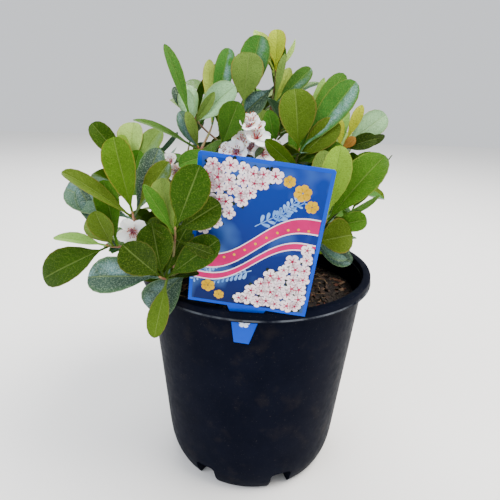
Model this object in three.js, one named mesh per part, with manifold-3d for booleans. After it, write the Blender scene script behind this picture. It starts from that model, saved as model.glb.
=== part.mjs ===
// Potted evergreen hawthorn with white blossom: a nursery pot, its soil, one short stem,
// fourteen boughs that each end in a mass of twigs, leaves and blossom, and a stick-in label.
// Millimetres, +Z up, origin at the centre of the pot's underside, the viewer stands at -Y.
import * as THREE from 'three';
import { mergeVertices } from 'three/addons/utils/BufferGeometryUtils.js';
import Module from 'manifold-3d';

const wasm = await Module();
wasm.setup();

// Driving dimensions of the pot
const CLEAR = 0.3; // gap between pieces that touch
const RIM_TOP = 188;
const RIM_RADIUS = 100;
const MOUTH_RADIUS = 93.5;
const SKIRT_BOTTOM = 180.8; // lower edge of the rim's turned-down skirt
const SKIRT_THICKNESS = 1.6;
const FLANGE_THICKNESS = 2;
const BEAD_STANDS_OUT = 0.6;
const BEAD_HEIGHT = 1.6;
const EDGE = 0.8; // chamfer on the rim's outer edge
const WALL_RADIUS = 94.4; // outside of the wall, level with the skirt's lower edge
const WALL_THICKNESS = 1.6;
const WALL_TAPER = 5.17; // degrees
const CORNER_TOP = 35; // height where the wall starts to turn in to the foot
const FOOT_RADIUS = 71.7;
const POT_SIDES = 32;
const SOIL_SIDES = 16;
const FLOOR_THICKNESS = 2.5;
const FLOOR_STEP_RADIUS = 48; // outside this the floor is raised over the drainage notches
const FLOOR_STEP_SLOPE = 2;
const RAISED_FLOOR = 22;
const NOTCH_COUNT = 7;
const NOTCH_WIDTH = 19;
const NOTCH_HEIGHT = 20;
const NOTCH_CORNER = 4;
const NOTCH_INNER_RADIUS = 54;
const FIRST_NOTCH = -68.4; // degrees from +X
const SLOT_WIDTH = 26; // cut in the flange for the label's tongue
const SLOT_DEPTH = 2.9;
const SLOT_EDGE = 0.8; // from the skirt's inside to the slot
const SLOT_TURN = -3.6; // degrees round the rim from the front

// Soil, stem and label
const SOIL_TOP = 166;
const STEM_FOOT = new THREE.Vector3(-14, 4, SOIL_TOP + CLEAR);
const STEM_TOP = new THREE.Vector3(-11, 0, 214);
const STEM_FOOT_RADIUS = 6;
const STEM_TOP_RADIUS = 4.4;
const STEM_FLARE = 3;
const BOUGH_ROOT_RADIUS = 2.6;
const BOUGH_TIP_RADIUS = 1.7;
const TWIG_ROOT_RADIUS = 1.5; // of the shoots that fork off a mass's stem
const TWIG_TIP_RADIUS = 1.2;
const CARD_WIDTH = 82;
const CARD_HEIGHT = 105;
const CARD_THICKNESS = 0.6;
const CARD_FOOT = new THREE.Vector3(-6, -96.6, 191); // middle of the card's lower edge
const CARD_LEAN = 7; // degrees towards the viewer
const CARD_ROLL = 5.8; // degrees clockwise
const CARD_YAW = -2.2;
const TONGUE_WIDTH = 27;
const TONGUE_NECK = 22;
const TONGUE_TIP_WIDTH = 11;
const TONGUE_LENGTH = 31;
const TONGUE_SHOULDER = 5;

// Growth
const BOUGH_SAG = 0.12; // of the bough's length
const FORK_PLACE = 0.45; // way along the first twig where the other shoots branch off
const TWIG_SIDES = 3;
const SIDE_SHOOT_LEAVES = 4;
const FIRST_SIDE_SHOOT = 0.3; // way along the mass's stem
const SIDE_SHOOT_SPAN = 0.55; // way along it that the side shoots share
const SIDE_SHOOT_ALONG = 0.75; // how far a side shoot follows the stem, and turns out from it
const SIDE_SHOOT_OUT = 0.66;
const SIDE_SHOOT_REACH = 30;
const SIDE_SHOOT_SPREAD = 10; // added to the reach by chance
const SIDE_SHOOT_SAG = 4;
const GOLDEN_ANGLE = 137.5;
const VIEWER = new THREE.Vector3(0, -0.9, 0.43); // from the plant to the viewer's eye
const UP = new THREE.Vector3(0, 0, 1);
const BACK = new THREE.Vector3(0, 1, 0);

// A leaf's cross-sections: place along its length, half width, half thickness
const FULL_LEAF = { at: [0, 0.18, 0.46, 0.78, 1], half: [0.02, 0.06, 0.44, 0.46, 0.1] };
const PLAIN_LEAF = { at: [0, 0.62, 1], half: [0.04, 0.52, 0.1] };
const LEAF_HALF_THICKNESS = 0.5;
const LEAF_ARCH = 0.1; // of the length, that the tip lies back
const LEAF_FOLD = 0.22; // rise of the edges above the midrib, of their distance from it
const SLIM_WIDTH = 12; // leaves narrower than this are made plain
const LEAF_SPACING = 1.4; // between the roots of neighbouring leaves on a shoot
const CROSSING_LIMIT = 3; // cubic millimetres that a leaf may share with its own mass
const PETALS = 5;
const FLOWER_DEPTH = 3;
const FLOWER_STALK_RADIUS = 0.8;

// Leaves that the rule grows: the angle to the shoot in degrees, the length, and the width
// as a share of the length. The oldest leaf adds the second number, chance spreads the third.
const RULED_OPENING = [28, 48, 14];
const RULED_LENGTH = [34, 15, 8];
const RULED_WIDTH = [0.43, 0, 0.14];

// Each mass: its name, the height on the stem where its bough starts, the bough's tip, and
// its shoots. A shoot has its tip, the way it points there as [clock, lean], and its leaves,
// each [clock, lean, length, width, face]. Clock is the way the leaf points as the viewer
// sees it, in degrees from straight up, to the right positive. Lean is degrees towards the
// viewer. Face turns the blade on its own axis, 0 being square to the viewer. A sixth value
// is how far below the shoot's tip the leaf sits. Flowers are [clock, lean, stalk, width].
// Spare is the number of leaves that the rule adds on the shoot's far side, and sides is the
// number of side shoots that it adds to the mass, by the mass's own seed.
const masses = [
  {
    name: 'front_left', height: 177, tip: [-44, -70, 208], sides: 0, seed: 20,
    shoots: [
      {
        at: [-61, -114, 219], points: [-20, 50], spare: 1,
        leaves: [
          [-87, 8, 47, 22, 25], [-26, 24, 37, 23, 0], [0, -8, 36, 21, 10], [20, -15, 37, 20, -10],
          [55, 6, 47, 18, 0], [73, 0, 22, 8, -60], [192, 2, 42, 14.5, 165], [-157, 14, 37, 19, 0, 16],
        ],
      },
      {
        at: [-51, -112, 251], points: [5, 25], spare: 1,
        leaves: [
          [21, 9, 42, 23.5, 0], [54, 2, 33, 18, 0], [-17, -6, 33, 16, -10], [-31, 10, 32, 8, 40],
          [-68, -12, 21, 12, 0], [117, 12, 18, 8, 50],
        ],
      },
    ],
  },
  {
    name: 'left', height: 183, tip: [-60, -48, 214], sides: 0, seed: 40,
    shoots: [
      {
        at: [-84, -88, 253], points: [-8, 20], spare: 3,
        leaves: [
          [-9, 4, 51, 21.5, 0], [30, 0, 44, 14.5, -20], [18, -15, 49, 16, 20], [-53, 10, 51, 9, 55],
          [-62, -10, 53, 20, 0],
        ],
        flowers: [[168, 39, 14, 19], [-135, 25, 12, 18]],
      },
      {
        at: [-103, -86, 229], points: [-60, 15], spare: 2,
        leaves: [
          [-114, 11, 54, 26, 15], [-84, -5, 43, 8, 60], [-15, 25, 30, 17, 0], [-31, -5, 48, 15, 15],
          [-7, 5, 47, 16.5, 0], [-58, -12, 30, 12, 0], [-165, 10, 12, 5, 30],
        ],
      },
    ],
  },
  {
    name: 'left_back', height: 190, tip: [-58, -14, 232], sides: 2, seed: 61,
    shoots: [
      {
        at: [-101, -35, 275], points: [-20, 5], spare: 4,
        leaves: [
          [-38, 8, 39, 17, 0], [3, -10, 34, 20, 0], [-10, 15, 24, 12, 0], [40, 5, 36, 16.5, 0],
          [20, 12, 18, 12, 0], [58, 12, 46, 4, 70],
        ],
      },
    ],
  },
  {
    name: 'top_left', height: 202, tip: [-38, -26, 256], sides: 0, seed: 80,
    shoots: [
      {
        at: [-50, -50, 312], points: [-5, 0], spare: 1,
        leaves: [
          [-13, 5, 53, 10, 40], [-26, -8, 28, 8, 30], [44, 12, 40, 19, 0], [36, 20, 29, 6, 30],
          [-12, -5, 28, 11.5, 0], [-7, -20, 34, 10, 10],
        ],
      },
      {
        at: [-45, -50, 293], points: [-20, 20], spare: 0,
        leaves: [[-60, 8, 49, 5.5, 70], [-24, 15, 28, 9, 0], [-12, 22, 29, 7, 20]],
      },
      {
        at: [-38, -20, 309], points: [10, 0], spare: 1,
        leaves: [[-4, -5, 46, 10.5, 0], [14, -5, 55, 13.5, 0]],
      },
      {
        at: [-58, -58, 279], points: [-30, 25], spare: 0,
        leaves: [[-48, 5, 22, 5, 60]],
        flowers: [[-20, 20, 7, 11], [60, 25, 7, 12], [160, 40, 8, 10]],
      },
    ],
  },
  {
    name: 'top', height: 206, tip: [-8, -10, 270], sides: 1, seed: 100,
    shoots: [
      {
        at: [9, -15, 327], points: [5, 0], spare: 2,
        leaves: [
          [4, 3, 40, 10.5, -20], [9, 10, 34, 5.5, 0], [45, 2, 40, 15, 0], [22, -4, 31, 9, 10],
        ],
      },
      {
        at: [8.5, -15, 347], points: [0, 0], spare: 1,
        leaves: [
          [0, 0, 31, 13.5, 0], [-22, -5, 34, 9, 25], [-25, -12, 37, 8, 0], [31, 0, 31, 4, 75],
          [-135, 10, 29, 15, 0, 12],
        ],
      },
      {
        at: [-15, -25, 322], points: [0, 5], spare: 2,
        leaves: [[7, 6, 36, 23, 0], [17, -6, 49, 22, 0]],
      },
    ],
  },
  {
    name: 'centre', height: 196, tip: [-12, -42, 250], sides: 0, seed: 120,
    shoots: [
      {
        at: [-7, -78, 293], points: [0, 25], spare: 0,
        leaves: [[45, 20, 15, 5, 40]],
        flowers: [
          [0, 10, 19, 19], [4, 45, 9, 18], [-60, 35, 12, 19], [100, 45, 8, 18], [70, 15, 17, 16],
          [-80, 10, 19, 14],
        ],
      },
      {
        at: [-27, -76, 296], points: [-5, 10], spare: 0,
        leaves: [[22, 8, 32, 17.5, 0], [-107, 12, 26, 9, 30]],
      },
      {
        at: [10, -66, 298], points: [0, 10], spare: 0,
        leaves: [[-16, 5, 22, 10, 0]],
      },
    ],
  },
  {
    name: 'right_front', height: 187, tip: [14, -36, 246], sides: 0, seed: 140,
    shoots: [
      {
        at: [26, -62, 295], points: [10, 15], spare: 2,
        leaves: [
          [-6, 3, 41, 25.5, 0], [35, 0, 60, 19, 0], [29, -14, 59, 15, 0], [20, -18, 54, 7, 0],
          [10, -12, 42, 15, 0], [48, 12, 32, 18, 0], [79, 10, 30, 10, -20],
        ],
      },
      {
        at: [31, -93, 282], points: [10, 35], spare: 0,
        leaves: [[-54, 8, 32, 9, -35]],
      },
    ],
  },
  {
    name: 'right', height: 179, tip: [28, -46, 214], sides: 0, seed: 160,
    shoots: [
      {
        at: [46, -80, 250], points: [20, 20], spare: 1,
        leaves: [
          [9, 3, 52, 20, 0], [41, 0, 60, 21, -15], [45, -10, 67, 4, 70], [62, 5, 42, 6, 65],
          [72, 10, 31, 13, 0],
        ],
      },
      {
        at: [40, -82, 236], points: [60, 30], spare: 1,
        leaves: [[80, 12, 27, 21, 0], [104, 8, 26, 12, 10], [130, 15, 24, 6, 30]],
      },
    ],
  },
  {
    name: 'right_back', height: 203, tip: [34, -4, 256], sides: 2, seed: 194,
    shoots: [
      {
        at: [65, -20, 297], points: [25, 5], spare: 3,
        leaves: [
          [18, 5, 31, 8.5, 0], [51, -5, 40, 20, 0], [78, 5, 31, 11, 35], [50, 14, 24, 12, 0],
          [35, 22, 14, 7.5, 0], [-3, 8, 24, 5, 0], [8, -10, 36, 6, 0],
        ],
      },
    ],
  },
  {
    name: 'back_right', height: 187, tip: [44, 40, 226], sides: 3, seed: 200,
    shoots: [{ at: [76, 58, 264], points: [45, -35], spare: 6, leaves: [] }],
  },
  {
    name: 'back', height: 209, tip: [-10, 40, 262], sides: 3, seed: 220,
    shoots: [{ at: [-4, 66, 318], points: [5, -25], spare: 6, leaves: [] }],
  },
  {
    name: 'back_left', height: 195, tip: [-58, 38, 230], sides: 3, seed: 240,
    shoots: [{ at: [-88, 62, 270], points: [-40, -35], spare: 6, leaves: [] }],
  },
  {
    name: 'back_low', height: 178, tip: [-10, 70, 210], sides: 3, seed: 260,
    shoots: [{ at: [-4, 102, 238], points: [0, -50], spare: 6, leaves: [] }],
  },
  {
    name: 'inner_back', height: 194, tip: [12, 20, 226], sides: 2, seed: 280,
    shoots: [{ at: [26, 36, 262], points: [20, -30], spare: 6, leaves: [] }],
  },
];

// Small helpers for solids and angles
function radians(degrees) {
  return THREE.MathUtils.degToRad(degrees);
}

function chance(seed) {
  const wave = Math.sin(seed * 12.9898) * 43758.5453;
  return wave - Math.floor(wave);
}

function solidOf(geometry) {
  geometry.deleteAttribute('normal');
  geometry.deleteAttribute('uv');
  const merged = mergeVertices(geometry, 1e-4);
  const vertProperties = new Float32Array(merged.attributes.position.array);
  const triVerts = new Uint32Array(merged.index.array);
  return new wasm.Manifold(new wasm.Mesh({ numProp: 3, vertProperties, triVerts }));
}

function meshOf(solid, name, color, roughness, metalness = 0) {
  const { vertProperties, triVerts } = solid.getMesh();
  const geometry = new THREE.BufferGeometry();
  geometry.setAttribute('position', new THREE.BufferAttribute(vertProperties, 3));
  geometry.setIndex(new THREE.BufferAttribute(triVerts, 1));
  const material = new THREE.MeshStandardMaterial({ color, roughness, metalness });
  const mesh = new THREE.Mesh(geometry, material);
  mesh.name = name;
  return mesh;
}

function largestBody(solid) {
  const bodies = solid.decompose();
  return bodies.reduce((best, body) => (body.volume() > best.volume() ? body : best));
}

// Unit vector that points by a clock angle seen from the front and a lean to the viewer
function pointing(clock, lean) {
  const level = Math.cos(radians(lean));
  return new THREE.Vector3(
    level * Math.sin(radians(clock)),
    -Math.sin(radians(lean)),
    level * Math.cos(radians(clock)),
  );
}

function squareTo(axis, vector) {
  return vector.clone().addScaledVector(axis, -axis.dot(vector)).normalize();
}

// A closed tube whose points are placed by a function of the way along and two offsets
function sweep(sides, steps, place) {
  const geometry = new THREE.CylinderGeometry(1, 1, 1, sides, steps);
  const points = geometry.attributes.position;
  for (let i = 0; i < points.count; i += 1) {
    const moved = place(points.getY(i) + 0.5, points.getX(i), points.getZ(i));
    points.setXYZ(i, moved.x, moved.y, moved.z);
  }
  return solidOf(geometry);
}

function limb(curve, radiusAt, sides, steps) {
  const reference = new THREE.Vector3(0.31, 0.94, 0.12);
  return sweep(sides, steps, (t, x, z) => {
    const along = curve.getTangent(t);
    const across = squareTo(along, reference);
    const over = across.clone().cross(along);
    const radius = radiusAt(t);
    return curve.getPoint(t).addScaledVector(across, x * radius).addScaledVector(over, z * radius);
  });
}

function tapered(rootRadius, tipRadius) {
  return (t) => rootRadius + (tipRadius - rootRadius) * t;
}

// Pot
function wallRadius(z) {
  const straight = WALL_RADIUS + (z - SKIRT_BOTTOM) * Math.tan(radians(WALL_TAPER));
  if (z >= CORNER_TOP) return straight;
  const straightFoot = WALL_RADIUS - SKIRT_BOTTOM * Math.tan(radians(WALL_TAPER));
  const turnIn = (straightFoot - FOOT_RADIUS) / CORNER_TOP ** 3;
  return straight - turnIn * (CORNER_TOP - z) ** 3;
}

function turned(profile, sides) {
  const points = profile.map(([r, z]) => new THREE.Vector2(r, z));
  return solidOf(new THREE.LatheGeometry(points, sides).rotateX(Math.PI / 2));
}

function innerRadius(z) {
  return z >= RIM_TOP ? MOUTH_RADIUS : wallRadius(z) - WALL_THICKNESS;
}

function potShell() {
  const beadRadius = RIM_RADIUS + BEAD_STANDS_OUT;
  const skirtInside = RIM_RADIUS - SKIRT_THICKNESS;
  const underFlange = RIM_TOP - FLANGE_THICKNESS;
  const profile = [
    [0, 0], [FOOT_RADIUS, 0], [wallRadius(6), 6], [wallRadius(18), 18],
    [wallRadius(CORNER_TOP), CORNER_TOP], [wallRadius(underFlange), underFlange],
    [skirtInside, underFlange], [skirtInside, SKIRT_BOTTOM], [beadRadius, SKIRT_BOTTOM],
    [beadRadius, SKIRT_BOTTOM + BEAD_HEIGHT],
    [RIM_RADIUS, SKIRT_BOTTOM + BEAD_HEIGHT + BEAD_STANDS_OUT],
    [RIM_RADIUS, RIM_TOP - EDGE], [RIM_RADIUS - EDGE, RIM_TOP], [MOUTH_RADIUS, RIM_TOP],
    [innerRadius(CORNER_TOP), CORNER_TOP], [innerRadius(RAISED_FLOOR), RAISED_FLOOR],
    [FLOOR_STEP_RADIUS + FLOOR_STEP_SLOPE, RAISED_FLOOR], [FLOOR_STEP_RADIUS, FLOOR_THICKNESS],
    [0, FLOOR_THICKNESS],
  ];
  return turned(profile, POT_SIDES);
}

function notch(index) {
  const shape = new THREE.Shape();
  const half = NOTCH_WIDTH / 2;
  shape.moveTo(-half, -1);
  shape.lineTo(-half, NOTCH_HEIGHT - NOTCH_CORNER);
  shape.lineTo(-half + NOTCH_CORNER, NOTCH_HEIGHT);
  shape.lineTo(half - NOTCH_CORNER, NOTCH_HEIGHT);
  shape.lineTo(half, NOTCH_HEIGHT - NOTCH_CORNER);
  shape.lineTo(half, -1);
  const depth = RIM_RADIUS - NOTCH_INNER_RADIUS;
  const geometry = new THREE.ExtrudeGeometry(shape, { depth, bevelEnabled: false, steps: 1 });
  geometry.rotateX(Math.PI / 2).translate(0, -NOTCH_INNER_RADIUS, 0);
  geometry.rotateZ(radians(FIRST_NOTCH + 90 + (index * 360) / NOTCH_COUNT));
  return solidOf(geometry);
}

function pot() {
  let solid = potShell();
  for (let i = 0; i < NOTCH_COUNT; i += 1) {
    solid = solid.subtract(notch(i));
  }
  const slot = new THREE.BoxGeometry(SLOT_WIDTH, SLOT_DEPTH, 6 * FLANGE_THICKNESS);
  const slotMiddle = RIM_RADIUS - SKIRT_THICKNESS - SLOT_EDGE - SLOT_DEPTH / 2;
  slot.translate(0, -slotMiddle, RIM_TOP).rotateZ(radians(SLOT_TURN));
  return solid.subtract(solidOf(slot));
}

function soil() {
  const bottom = FLOOR_THICKNESS + CLEAR;
  const raised = RAISED_FLOOR + CLEAR;
  const step = FLOOR_STEP_RADIUS - CLEAR;
  const beside = (z) => innerRadius(z) - 2 * CLEAR;
  const profile = [
    [0, bottom], [step, bottom], [step + FLOOR_STEP_SLOPE - CLEAR, raised],
    [beside(raised), raised], [beside(CORNER_TOP), CORNER_TOP], [beside(SOIL_TOP), SOIL_TOP],
    [0, SOIL_TOP],
  ];
  return turned(profile, SOIL_SIDES);
}

// Label: a card on a tongue that passes down through the flange's slot
function label() {
  const card = new THREE.Shape();
  const half = CARD_WIDTH / 2;
  card.moveTo(-half, 0);
  card.lineTo(-TONGUE_WIDTH / 2, 0);
  card.lineTo(-TONGUE_NECK / 2, -TONGUE_SHOULDER);
  card.lineTo(-TONGUE_TIP_WIDTH / 2, -TONGUE_LENGTH);
  card.lineTo(TONGUE_TIP_WIDTH / 2, -TONGUE_LENGTH);
  card.lineTo(TONGUE_NECK / 2, -TONGUE_SHOULDER);
  card.lineTo(TONGUE_WIDTH / 2, 0);
  card.lineTo(half, 0);
  card.lineTo(half, CARD_HEIGHT);
  card.lineTo(-half, CARD_HEIGHT);
  const geometry = new THREE.ExtrudeGeometry(card, { depth: CARD_THICKNESS, bevelEnabled: false });
  geometry.translate(0, 0, -CARD_THICKNESS / 2).rotateX(Math.PI / 2);
  geometry.rotateX(radians(CARD_LEAN)).rotateY(radians(CARD_ROLL)).rotateZ(radians(CARD_YAW));
  geometry.translate(CARD_FOOT.x, CARD_FOOT.y, CARD_FOOT.z);
  return solidOf(geometry);
}

// Stem and boughs
const stemLine = new THREE.LineCurve3(STEM_FOOT, STEM_TOP);

function stemRadius(t) {
  return tapered(STEM_FOOT_RADIUS, STEM_TOP_RADIUS)(t) + STEM_FLARE * Math.exp(-9 * t);
}

// The stem's sections are level, so its foot is a flat cut on the soil. A margin makes it
// larger all round, for the space that the boughs keep clear of.
function stem(margin) {
  return sweep(10, 6, (t, x, z) => {
    const radius = stemRadius(t) + margin;
    const offset = new THREE.Vector3(x * radius, -z * radius, margin * (2 * t - 1));
    return stemLine.getPoint(t).add(offset);
  });
}

function stemPoint(height) {
  return stemLine.getPoint((height - STEM_FOOT.z) / (STEM_TOP.z - STEM_FOOT.z));
}

function boughCurve(mass) {
  const root = stemPoint(mass.height);
  const tip = new THREE.Vector3(...mass.tip);
  const bend = root.clone().lerp(tip, 0.5);
  bend.z -= BOUGH_SAG * root.distanceTo(tip);
  return new THREE.QuadraticBezierCurve3(root, bend, tip);
}

// Twigs: the mass's stem starts clear of its bough's tip and curves to its first shoot
function twigCurve(start, startWay, shoot) {
  const tip = new THREE.Vector3(...shoot.at);
  const third = start.distanceTo(tip) / 3;
  const leave = start.clone().addScaledVector(startWay, third);
  const arrive = tip.clone().addScaledVector(pointing(...shoot.points), -third);
  return new THREE.CubicBezierCurve3(start, leave, arrive, tip);
}

// Leaf: root point, the way it points, the way its upper face looks, length and width
function leaf({ root, way, facing, length, width }, form) {
  const side = way.clone().cross(facing);
  const steps = form.at.length - 1;
  return sweep(4, steps, (t, x, z) => {
    const station = Math.round(t * steps);
    const along = form.at[station] * length;
    const across = x * form.half[station] * width;
    const lift = LEAF_FOLD * Math.abs(across) - LEAF_ARCH * length * form.at[station] ** 2;
    const over = z * LEAF_HALF_THICKNESS + lift;
    return root.clone().addScaledVector(way, along).addScaledVector(side, across)
      .addScaledVector(facing, over);
  });
}

function chosenLeaf(curve, index, [clock, lean, length, width, face, lower = 0]) {
  const below = 1 + LEAF_SPACING * index + lower;
  const way = pointing(clock, lean);
  const facing = squareTo(way, VIEWER).applyAxisAngle(way, radians(face));
  const root = curve.getPointAt(1 - below / curve.getLength());
  return { root, way, facing, length, width };
}

// Value for one leaf of the rule, from one of the triples above
function ruled([young, old, spread], age, seed) {
  return young + old * age + spread * (chance(seed) - 0.5);
}

// The rule's leaves: by the golden angle round the shoot, older ones lower and more open.
// Below leaves that were chosen, they keep to the shoot's far side.
function ruledLeaf(curve, index, count, seed, firstBelow) {
  const farSide = firstBelow > 1;
  const age = 1 - index / count;
  const axis = curve.getTangent(1);
  const away = squareTo(axis, BACK);
  const step = GOLDEN_ANGLE * (index + 1) + 360 * chance(seed);
  const turn = farSide ? (step % 180) - 90 : step;
  const spoke = away.applyAxisAngle(axis, radians(turn));
  const open = radians(ruled(RULED_OPENING, age, seed + index + 0.3));
  const way = axis.clone().multiplyScalar(Math.cos(open)).addScaledVector(spoke, Math.sin(open));
  const facing = squareTo(way, axis.clone().addScaledVector(UP, 0.5));
  const length = ruled(RULED_LENGTH, age, seed + index + 0.6);
  const width = length * ruled(RULED_WIDTH, age, seed + index + 0.9);
  const below = firstBelow + LEAF_SPACING * (count - 1 - index);
  const root = curve.getPointAt(1 - below / curve.getLength());
  return { root, way, facing, length, width };
}

// Flower: a stalk, and the petals as one shallow cup with a corner for each petal
function flower(root, [clock, lean, stalk, width]) {
  const way = pointing(clock, lean);
  const seat = root.clone().addScaledVector(way, stalk);
  const stalkSolid = limb(new THREE.LineCurve3(root, seat), () => FLOWER_STALK_RADIUS, 3, 1);
  const look = way.clone().add(VIEWER).normalize();
  const across = squareTo(look, UP);
  const over = across.clone().cross(look);
  const cup = sweep(PETALS, 1, (t, x, z) => {
    const isRim = t === 1 && Math.hypot(x, z) > 0.5;
    const radius = t === 1 ? width / 2 : width / 6;
    const height = isRim ? FLOWER_DEPTH : t * 2 - 1;
    return seat.clone().addScaledVector(across, x * radius).addScaledVector(over, z * radius)
      .addScaledVector(look, height);
  });
  return stalkSolid.add(cup);
}

// Each placed solid is kept with its owner, so that others can keep clear of it
const placed = [];

function boxesApart(a, b) {
  return [0, 1, 2].some((k) => a.min[k] > b.max[k] + CLEAR || b.min[k] > a.max[k] + CLEAR);
}

function isClear(solid, owner) {
  const box = solid.boundingBox();
  return placed.every((other) => {
    if (other.owner === owner || boxesApart(box, other.box)) return true;
    return other.solid.minGap(solid, 2 * CLEAR) > CLEAR;
  });
}

function keep(solid, owner) {
  placed.push({ solid, owner, box: solid.boundingBox() });
}

// Volume that a leaf would share with its own mass, beyond its root in the twig
function sharedVolume(solid, owner) {
  const box = solid.boundingBox();
  const near = placed.filter((other) => other.owner === owner && !boxesApart(box, other.box));
  return near.reduce((sum, other) => sum + other.solid.intersect(solid).volume(), 0);
}

// Keeps the solid if nothing of another owner is in its way, and tells whether it did
function keepIfClear(solid, owner) {
  const clear = isClear(solid, owner);
  if (clear) keep(solid, owner);
  return clear;
}

// Build, from what carries to what is carried
const group = new THREE.Group();
const bark = ['#5d4a39', 0.85];

function addMesh(solid, name, color, roughness) {
  group.add(meshOf(solid, name, color, roughness));
}

const potSolid = pot();
const soilSolid = soil();
const labelSolid = label();
const stemSolid = stem(0);
keep(potSolid, 'pot');
keep(soilSolid, 'soil');
keep(labelSolid, 'label');
keep(stemSolid, 'stem');
addMesh(potSolid, 'pot', '#15171f', 0.45);
addMesh(soilSolid, 'soil', '#2a211c', 0.95);
addMesh(labelSolid, 'label', '#0a5fc0', 0.4);
addMesh(stemSolid, 'stem', ...bark);

const stemSpace = stem(1.5 * CLEAR);
for (const mass of masses) {
  mass.boughCurve = boughCurve(mass);
  const whole = limb(mass.boughCurve, tapered(BOUGH_ROOT_RADIUS, BOUGH_TIP_RADIUS), 6, 4);
  const bough = largestBody(whole.subtract(stemSpace));
  keep(bough, `bough_${mass.name}`);
  addMesh(bough, `bough_${mass.name}`, ...bark);
}

// Twigs to the shoots: the first from the bough's tip, the others branch from it
for (const mass of masses) {
  const way = mass.boughCurve.getTangent(1);
  const start = new THREE.Vector3(...mass.tip).addScaledVector(way, 1.2 * CLEAR);
  for (const [index, shoot] of mass.shoots.entries()) {
    const from = index === 0 ? start : mass.shoots[0].curve.getPoint(FORK_PLACE);
    const fromWay = index === 0 ? way : mass.shoots[0].curve.getTangent(FORK_PLACE);
    const rootRadius = index === 0 ? BOUGH_TIP_RADIUS : TWIG_ROOT_RADIUS;
    shoot.curve = twigCurve(from, fromWay, shoot);
    keep(limb(shoot.curve, tapered(rootRadius, TWIG_TIP_RADIUS), TWIG_SIDES, 3), mass.name);
  }
}

// The chosen leaves and flowers come first, and the rule's leaves fill in around them
for (const mass of masses) {
  for (const shoot of mass.shoots) {
    for (const [index, row] of shoot.leaves.entries()) {
      const chosen = chosenLeaf(shoot.curve, index, row);
      keepIfClear(leaf(chosen, chosen.width < SLIM_WIDTH ? PLAIN_LEAF : FULL_LEAF), mass.name);
    }
    for (const row of shoot.flowers ?? []) {
      keepIfClear(flower(shoot.curve.getPoint(1), row), mass.name);
    }
  }
}

function addRuledLeaves(mass, curve, count, seed, firstBelow) {
  for (let i = 0; i < count; i += 1) {
    const solid = leaf(ruledLeaf(curve, i, count, seed, firstBelow), PLAIN_LEAF);
    if (sharedVolume(solid, mass.name) < CROSSING_LIMIT) keepIfClear(solid, mass.name);
  }
}

function addSideShoot(mass, index, seed) {
  const leader = mass.shoots[0].curve;
  const from = FIRST_SIDE_SHOOT + (SIDE_SHOOT_SPAN * index) / mass.sides;
  const axis = leader.getTangent(from);
  const spoke = squareTo(axis, BACK);
  spoke.applyAxisAngle(axis, radians(GOLDEN_ANGLE * index + 360 * chance(seed)));
  const way = axis.clone().multiplyScalar(SIDE_SHOOT_ALONG).addScaledVector(spoke, SIDE_SHOOT_OUT);
  const root = leader.getPoint(from);
  const reach = SIDE_SHOOT_REACH + SIDE_SHOOT_SPREAD * chance(seed + index);
  const tip = root.clone().addScaledVector(way, reach);
  const bend = root.clone().addScaledVector(way, reach / 2).addScaledVector(UP, -SIDE_SHOOT_SAG);
  const curve = new THREE.QuadraticBezierCurve3(root, bend, tip);
  const twig = limb(curve, tapered(TWIG_ROOT_RADIUS, TWIG_TIP_RADIUS), TWIG_SIDES, 2);
  if (keepIfClear(twig, mass.name)) addRuledLeaves(mass, curve, SIDE_SHOOT_LEAVES, seed + 5.5, 1);
}

for (const mass of masses) {
  const seed = mass.seed;
  for (const [shootIndex, shoot] of mass.shoots.entries()) {
    const firstBelow = 1 + LEAF_SPACING * shoot.leaves.length;
    addRuledLeaves(mass, shoot.curve, shoot.spare, seed + shootIndex, firstBelow);
  }
  for (let i = 0; i < mass.sides; i += 1) {
    addSideShoot(mass, i, seed + 7 * (i + 1));
  }
}

for (const mass of masses) {
  const pieces = placed.filter((piece) => piece.owner === mass.name);
  const joined = pieces.map((piece) => piece.solid).reduce((sum, solid) => sum.add(solid));
  addMesh(largestBody(joined), `foliage_${mass.name}`, '#4d7a2c', 0.5);
}

export default group;
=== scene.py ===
# Potted evergreen hawthorn with white blossom, in a nursery pot with a stick-in label.
# The origin is the middle of the pot's underside, +Z is up and the viewer stands at -Y.
# Sizes are in millimetres, as in the part's source, and a mesh is scaled to metres when made.
import math

import bpy
import numpy as np
from mathutils import Matrix, Vector, noise
from mathutils.bvhtree import BVHTree


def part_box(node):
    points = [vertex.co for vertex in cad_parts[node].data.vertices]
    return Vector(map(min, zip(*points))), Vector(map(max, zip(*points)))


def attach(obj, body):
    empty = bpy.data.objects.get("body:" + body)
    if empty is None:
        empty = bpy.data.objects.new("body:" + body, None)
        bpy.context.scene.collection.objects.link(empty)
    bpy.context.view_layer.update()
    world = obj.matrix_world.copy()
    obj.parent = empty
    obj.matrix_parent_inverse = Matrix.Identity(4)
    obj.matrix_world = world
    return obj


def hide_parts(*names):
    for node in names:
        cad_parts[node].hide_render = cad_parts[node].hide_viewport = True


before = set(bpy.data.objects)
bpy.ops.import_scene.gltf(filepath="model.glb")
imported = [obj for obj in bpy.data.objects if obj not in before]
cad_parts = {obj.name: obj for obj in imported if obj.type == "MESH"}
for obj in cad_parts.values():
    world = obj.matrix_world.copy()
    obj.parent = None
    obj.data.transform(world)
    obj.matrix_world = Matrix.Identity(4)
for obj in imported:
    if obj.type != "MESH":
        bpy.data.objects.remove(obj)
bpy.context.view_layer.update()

MM = 0.001

# Camera, in the photograph's place: metres, degrees down, to the right and clockwise, and
# millimetres for its lens and sensor. The photograph is 500 by 500.
CAMERA_PLACE = Vector((0.0, -0.3719, 0.33206))
CAMERA_PITCH = 19.679
CAMERA_YAW = -0.984
CAMERA_ROLL = 1.888
CAMERA_LENS = 31.83
CAMERA_SENSOR = 36
PHOTO_SIZE = 500

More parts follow.
